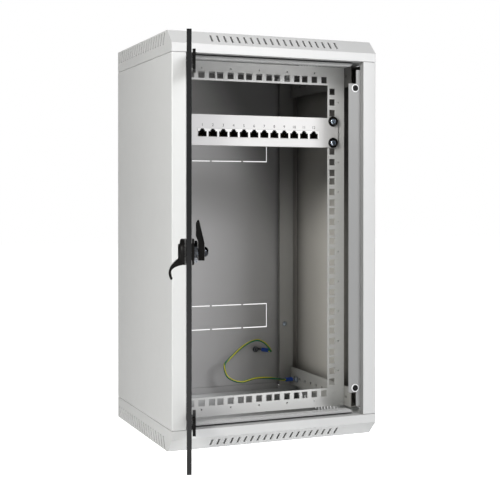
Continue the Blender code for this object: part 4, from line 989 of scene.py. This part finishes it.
def make_handle_look():
    """Domed hub with the hooked lever, bored for the key core."""
    shoulder = [(HUB_RADIUS - inward, HUB_FRONT + back) for inward, back in HUB_SHOULDER]
    bore_wall = [(HUB_BORE, HUB_FRONT), (HUB_BORE, HUB_FLOOR), (0.0, HUB_FLOOR)]
    profile = [(0.0, HUB_BACK), (HUB_RADIUS, HUB_BACK)] + shoulder + bore_wall
    hub = lock_piece(turned(profile, (0, 1, 0)), "lock_handle", "handle", "black_plastic")
    arm = prism(lever_outline(), "X", -LEVER_HALF_WIDTH, LEVER_HALF_WIDTH)
    for vertex in arm.verts:
        along = (-vertex.co.z - LEVER_TAPER_START) / LEVER_TAPER_LENGTH
        vertex.co.x *= 1.0 - LEVER_TAPER * min(1.0, max(0.0, along))
    use_lock_tool(hub, arm, "UNION")
    beyond = 3 * HUB_FRONT
    bore = [(0.0, beyond), (HUB_BORE, beyond), (HUB_BORE, HUB_FLOOR), (0.0, HUB_FLOOR)]
    use_lock_tool(hub, turned(bore, (0, 1, 0)), "DIFFERENCE")
    round_edges(hub, LEVER_EDGE, 3)


def make_lock_nut():
    """Hexagon nut with chamfered corners."""
    corner = NUT_ACROSS / 2 / math.cos(math.pi / 6)
    angles = [math.radians(angle) for angle in range(30, 360, 60)]
    outline = [(corner * math.cos(angle), corner * math.sin(angle)) for angle in angles]
    hexagon = prism(outline, "Y", NUT_NEAR, NUT_FAR)
    nut = lock_piece(hexagon, "lock_nut", "door", "zinc_plate", "dark_zinc")
    below = NUT_NEAR - 10 * OVERCUT
    chamfered_ring = [
        (BARREL_RADIUS, below),
        (NUT_ACROSS, below),
        (corner + 2 * OVERCUT, NUT_FAR - NUT_CHAMFER),
        (NUT_ACROSS / 2, NUT_FAR + OVERCUT),
        (BARREL_RADIUS, NUT_FAR + OVERCUT),
    ]
    use_lock_tool(nut, turned(chamfered_ring, (0, 1, 0), closed=True), "INTERSECT")
    round_edges(nut, NUT_EDGE, 2)


def make_cam_look():
    """Bent cam with a narrow rounded tip, and its domed screw."""
    shape = prism(CAM_OUTLINE, "X", -CAM_HALF_WIDTH, CAM_HALF_WIDTH)
    for vertex in shape.verts:
        along = max(0.0, vertex.co.z / CAM_REACH)
        vertex.co.x *= 1.0 - CAM_TAPER * along
    cam = lock_piece(shape, "lock_cam", "handle", "black_plastic")
    round_edges(cam, CAM_EDGE, 3)
    low = CAM_FAR + DOME_GAP
    angles = [math.pi / 2 * step / DOME_STEPS for step in range(DOME_STEPS + 1)]
    dome = [(DOME_RADIUS * math.sin(angle), low + DOME_HEIGHT * math.cos(angle)) for angle in angles]
    dome.append((0.0, low))
    screw = lock_piece(turned(dome, (0, 1, 0)), "cam_screw", "handle", "zinc_plate", "blued_steel")
    recess = cross_recess(low + DOME_HEIGHT * DOME_RECESS, low + 2 * DOME_HEIGHT)
    use_lock_tool(screw, recess, "DIFFERENCE")


def make_fine_pieces():
    """Everything that is finer than its solid, or has no solid of its own."""
    make_port_liners()
    make_port_contacts()
    make_port_numbers()
    for number in range(1, 5):
        make_panel_screw(number)
    for end in ("upper", "lower"):
        make_bumper(end)
    make_earth_wire()
    make_handle_look()
    make_lock_nut()
    make_cam_look()


# ---------------------------------------------------------------- camera, light and floor

CAMERA_PLACE = (-0.5997, -1.4589, 0.3458)
CAMERA_TILT = math.radians(89.652)
CAMERA_TURN = math.radians(-22.147)
LENS = 75.445
SENSOR = 36.0
LENS_SHIFT = (0.0239, -0.0953)
WARM = (1.0, 0.988, 0.965)
COOL = (0.98, 0.975, 1.0)
PAPER = (0.90, 0.90, 0.90)
FLOOR_REACH = 6.0
FLOOR_DROP = 0.0002


def make_camera():
    """Long lens in front of the cabinet, to its left and a little above its middle."""
    camera = bpy.data.objects.new("camera", bpy.data.cameras.new("camera"))
    bpy.context.scene.collection.objects.link(camera)
    camera.location = CAMERA_PLACE
    camera.rotation_euler = (CAMERA_TILT, 0.0, CAMERA_TURN)
    camera.data.lens = LENS
    camera.data.sensor_width = SENSOR
    camera.data.shift_x = LENS_SHIFT[0]
    camera.data.shift_y = LENS_SHIFT[1]
    camera.data.clip_start = 0.05
    camera.data.clip_end = 30.0
    bpy.context.scene.camera = camera


def make_light(name, place, target, size, power, color):
    """Soft box of a size in metres and a power in watts, aimed at a target."""
    light = bpy.data.lights.new(name, "AREA")
    light.shape = "RECTANGLE"
    light.size = size[0]
    light.size_y = size[1]
    light.energy = power
    light.color = color
    lamp = bpy.data.objects.new(name, light)
    bpy.context.scene.collection.objects.link(lamp)
    lamp.location = place
    lamp.rotation_euler = (Vector(target) - Vector(place)).to_track_quat("-Z", "Y").to_euler()
    lamp.visible_camera = False


def make_world():
    """White studio: pure white to the camera, nearly dark as a light."""
    world = bpy.data.worlds.new("studio")
    bpy.context.scene.world = world
    world.use_nodes = True
    tree = world.node_tree
    tree.nodes.clear()
    path = add_node(tree, "ShaderNodeLightPath")
    seen = add_node(tree, "ShaderNodeBackground", {"Color": (1.0, 1.0, 1.0, 1.0), "Strength": 1.0})
    lit = add_node(tree, "ShaderNodeBackground", {"Color": (0.97, 0.98, 1.0, 1.0), "Strength": 0.01})
    camera_ray = path.outputs["Is Camera Ray"]
    mix_inputs = {0: camera_ray, 1: lit.outputs["Background"], 2: seen.outputs["Background"]}
    mix = add_node(tree, "ShaderNodeMixShader", mix_inputs)
    add_node(tree, "ShaderNodeOutputWorld", {"Surface": mix.outputs["Shader"]})


def floor_paper():
    """White studio paper that stays white in view and lights the object from below."""
    made, tree, shader, place = new_material("floor", PAPER, 0.75)
    vary_color(tree, shader, place, PAPER, 3.0, 0.004)
    path = add_node(tree, "ShaderNodeLightPath")
    inputs = {"Value": path.outputs["Is Camera Ray"], "To Min": 0.25, "To Max": 1.0}
    glow = add_node(tree, "ShaderNodeMapRange", inputs).outputs["Result"]
    shader.inputs["Emission Color"].default_value = (1.0, 1.0, 1.0, 1.0)
    tree.links.new(glow, shader.inputs["Emission Strength"])
    return made


def make_floor():
    """Flat paper just under the object."""
    mesh = bpy.data.meshes.new("floor")
    level = cad_box[0].z - FLOOR_DROP
    signs = ((-1, -1), (1, -1), (1, 1), (-1, 1))
    corners = [(along * FLOOR_REACH, across * FLOOR_REACH, level) for along, across in signs]
    mesh.from_pydata(corners, [], [(0, 1, 2, 3)])
    floor = bpy.data.objects.new("floor", mesh)
    bpy.context.scene.collection.objects.link(floor)
    mesh.materials.append(floor_paper())


def make_studio():
    """Camera, white studio and four soft lights."""
    bpy.context.scene.view_settings.view_transform = "Standard"
    make_camera()
    make_world()
    make_floor()
    middle = (0.0, 0.0, 0.30)
    make_light("key", (1.2, -3.2, 1.7), middle, (1.2, 1.2), 59.0, COOL)
    make_light("high_key", (0.45, -3.0, 2.2), middle, (1.0, 1.0), 22.0, COOL)
    make_light("near_left", (-1.35, -1.0, 1.1), middle, (0.5, 0.5), 20.5, WARM)
    make_light("low_left", (-1.2, -1.1, 0.7), middle, (0.6, 1.2), 4.5, WARM)


dress_frame()
make_fine_pieces()
make_studio()
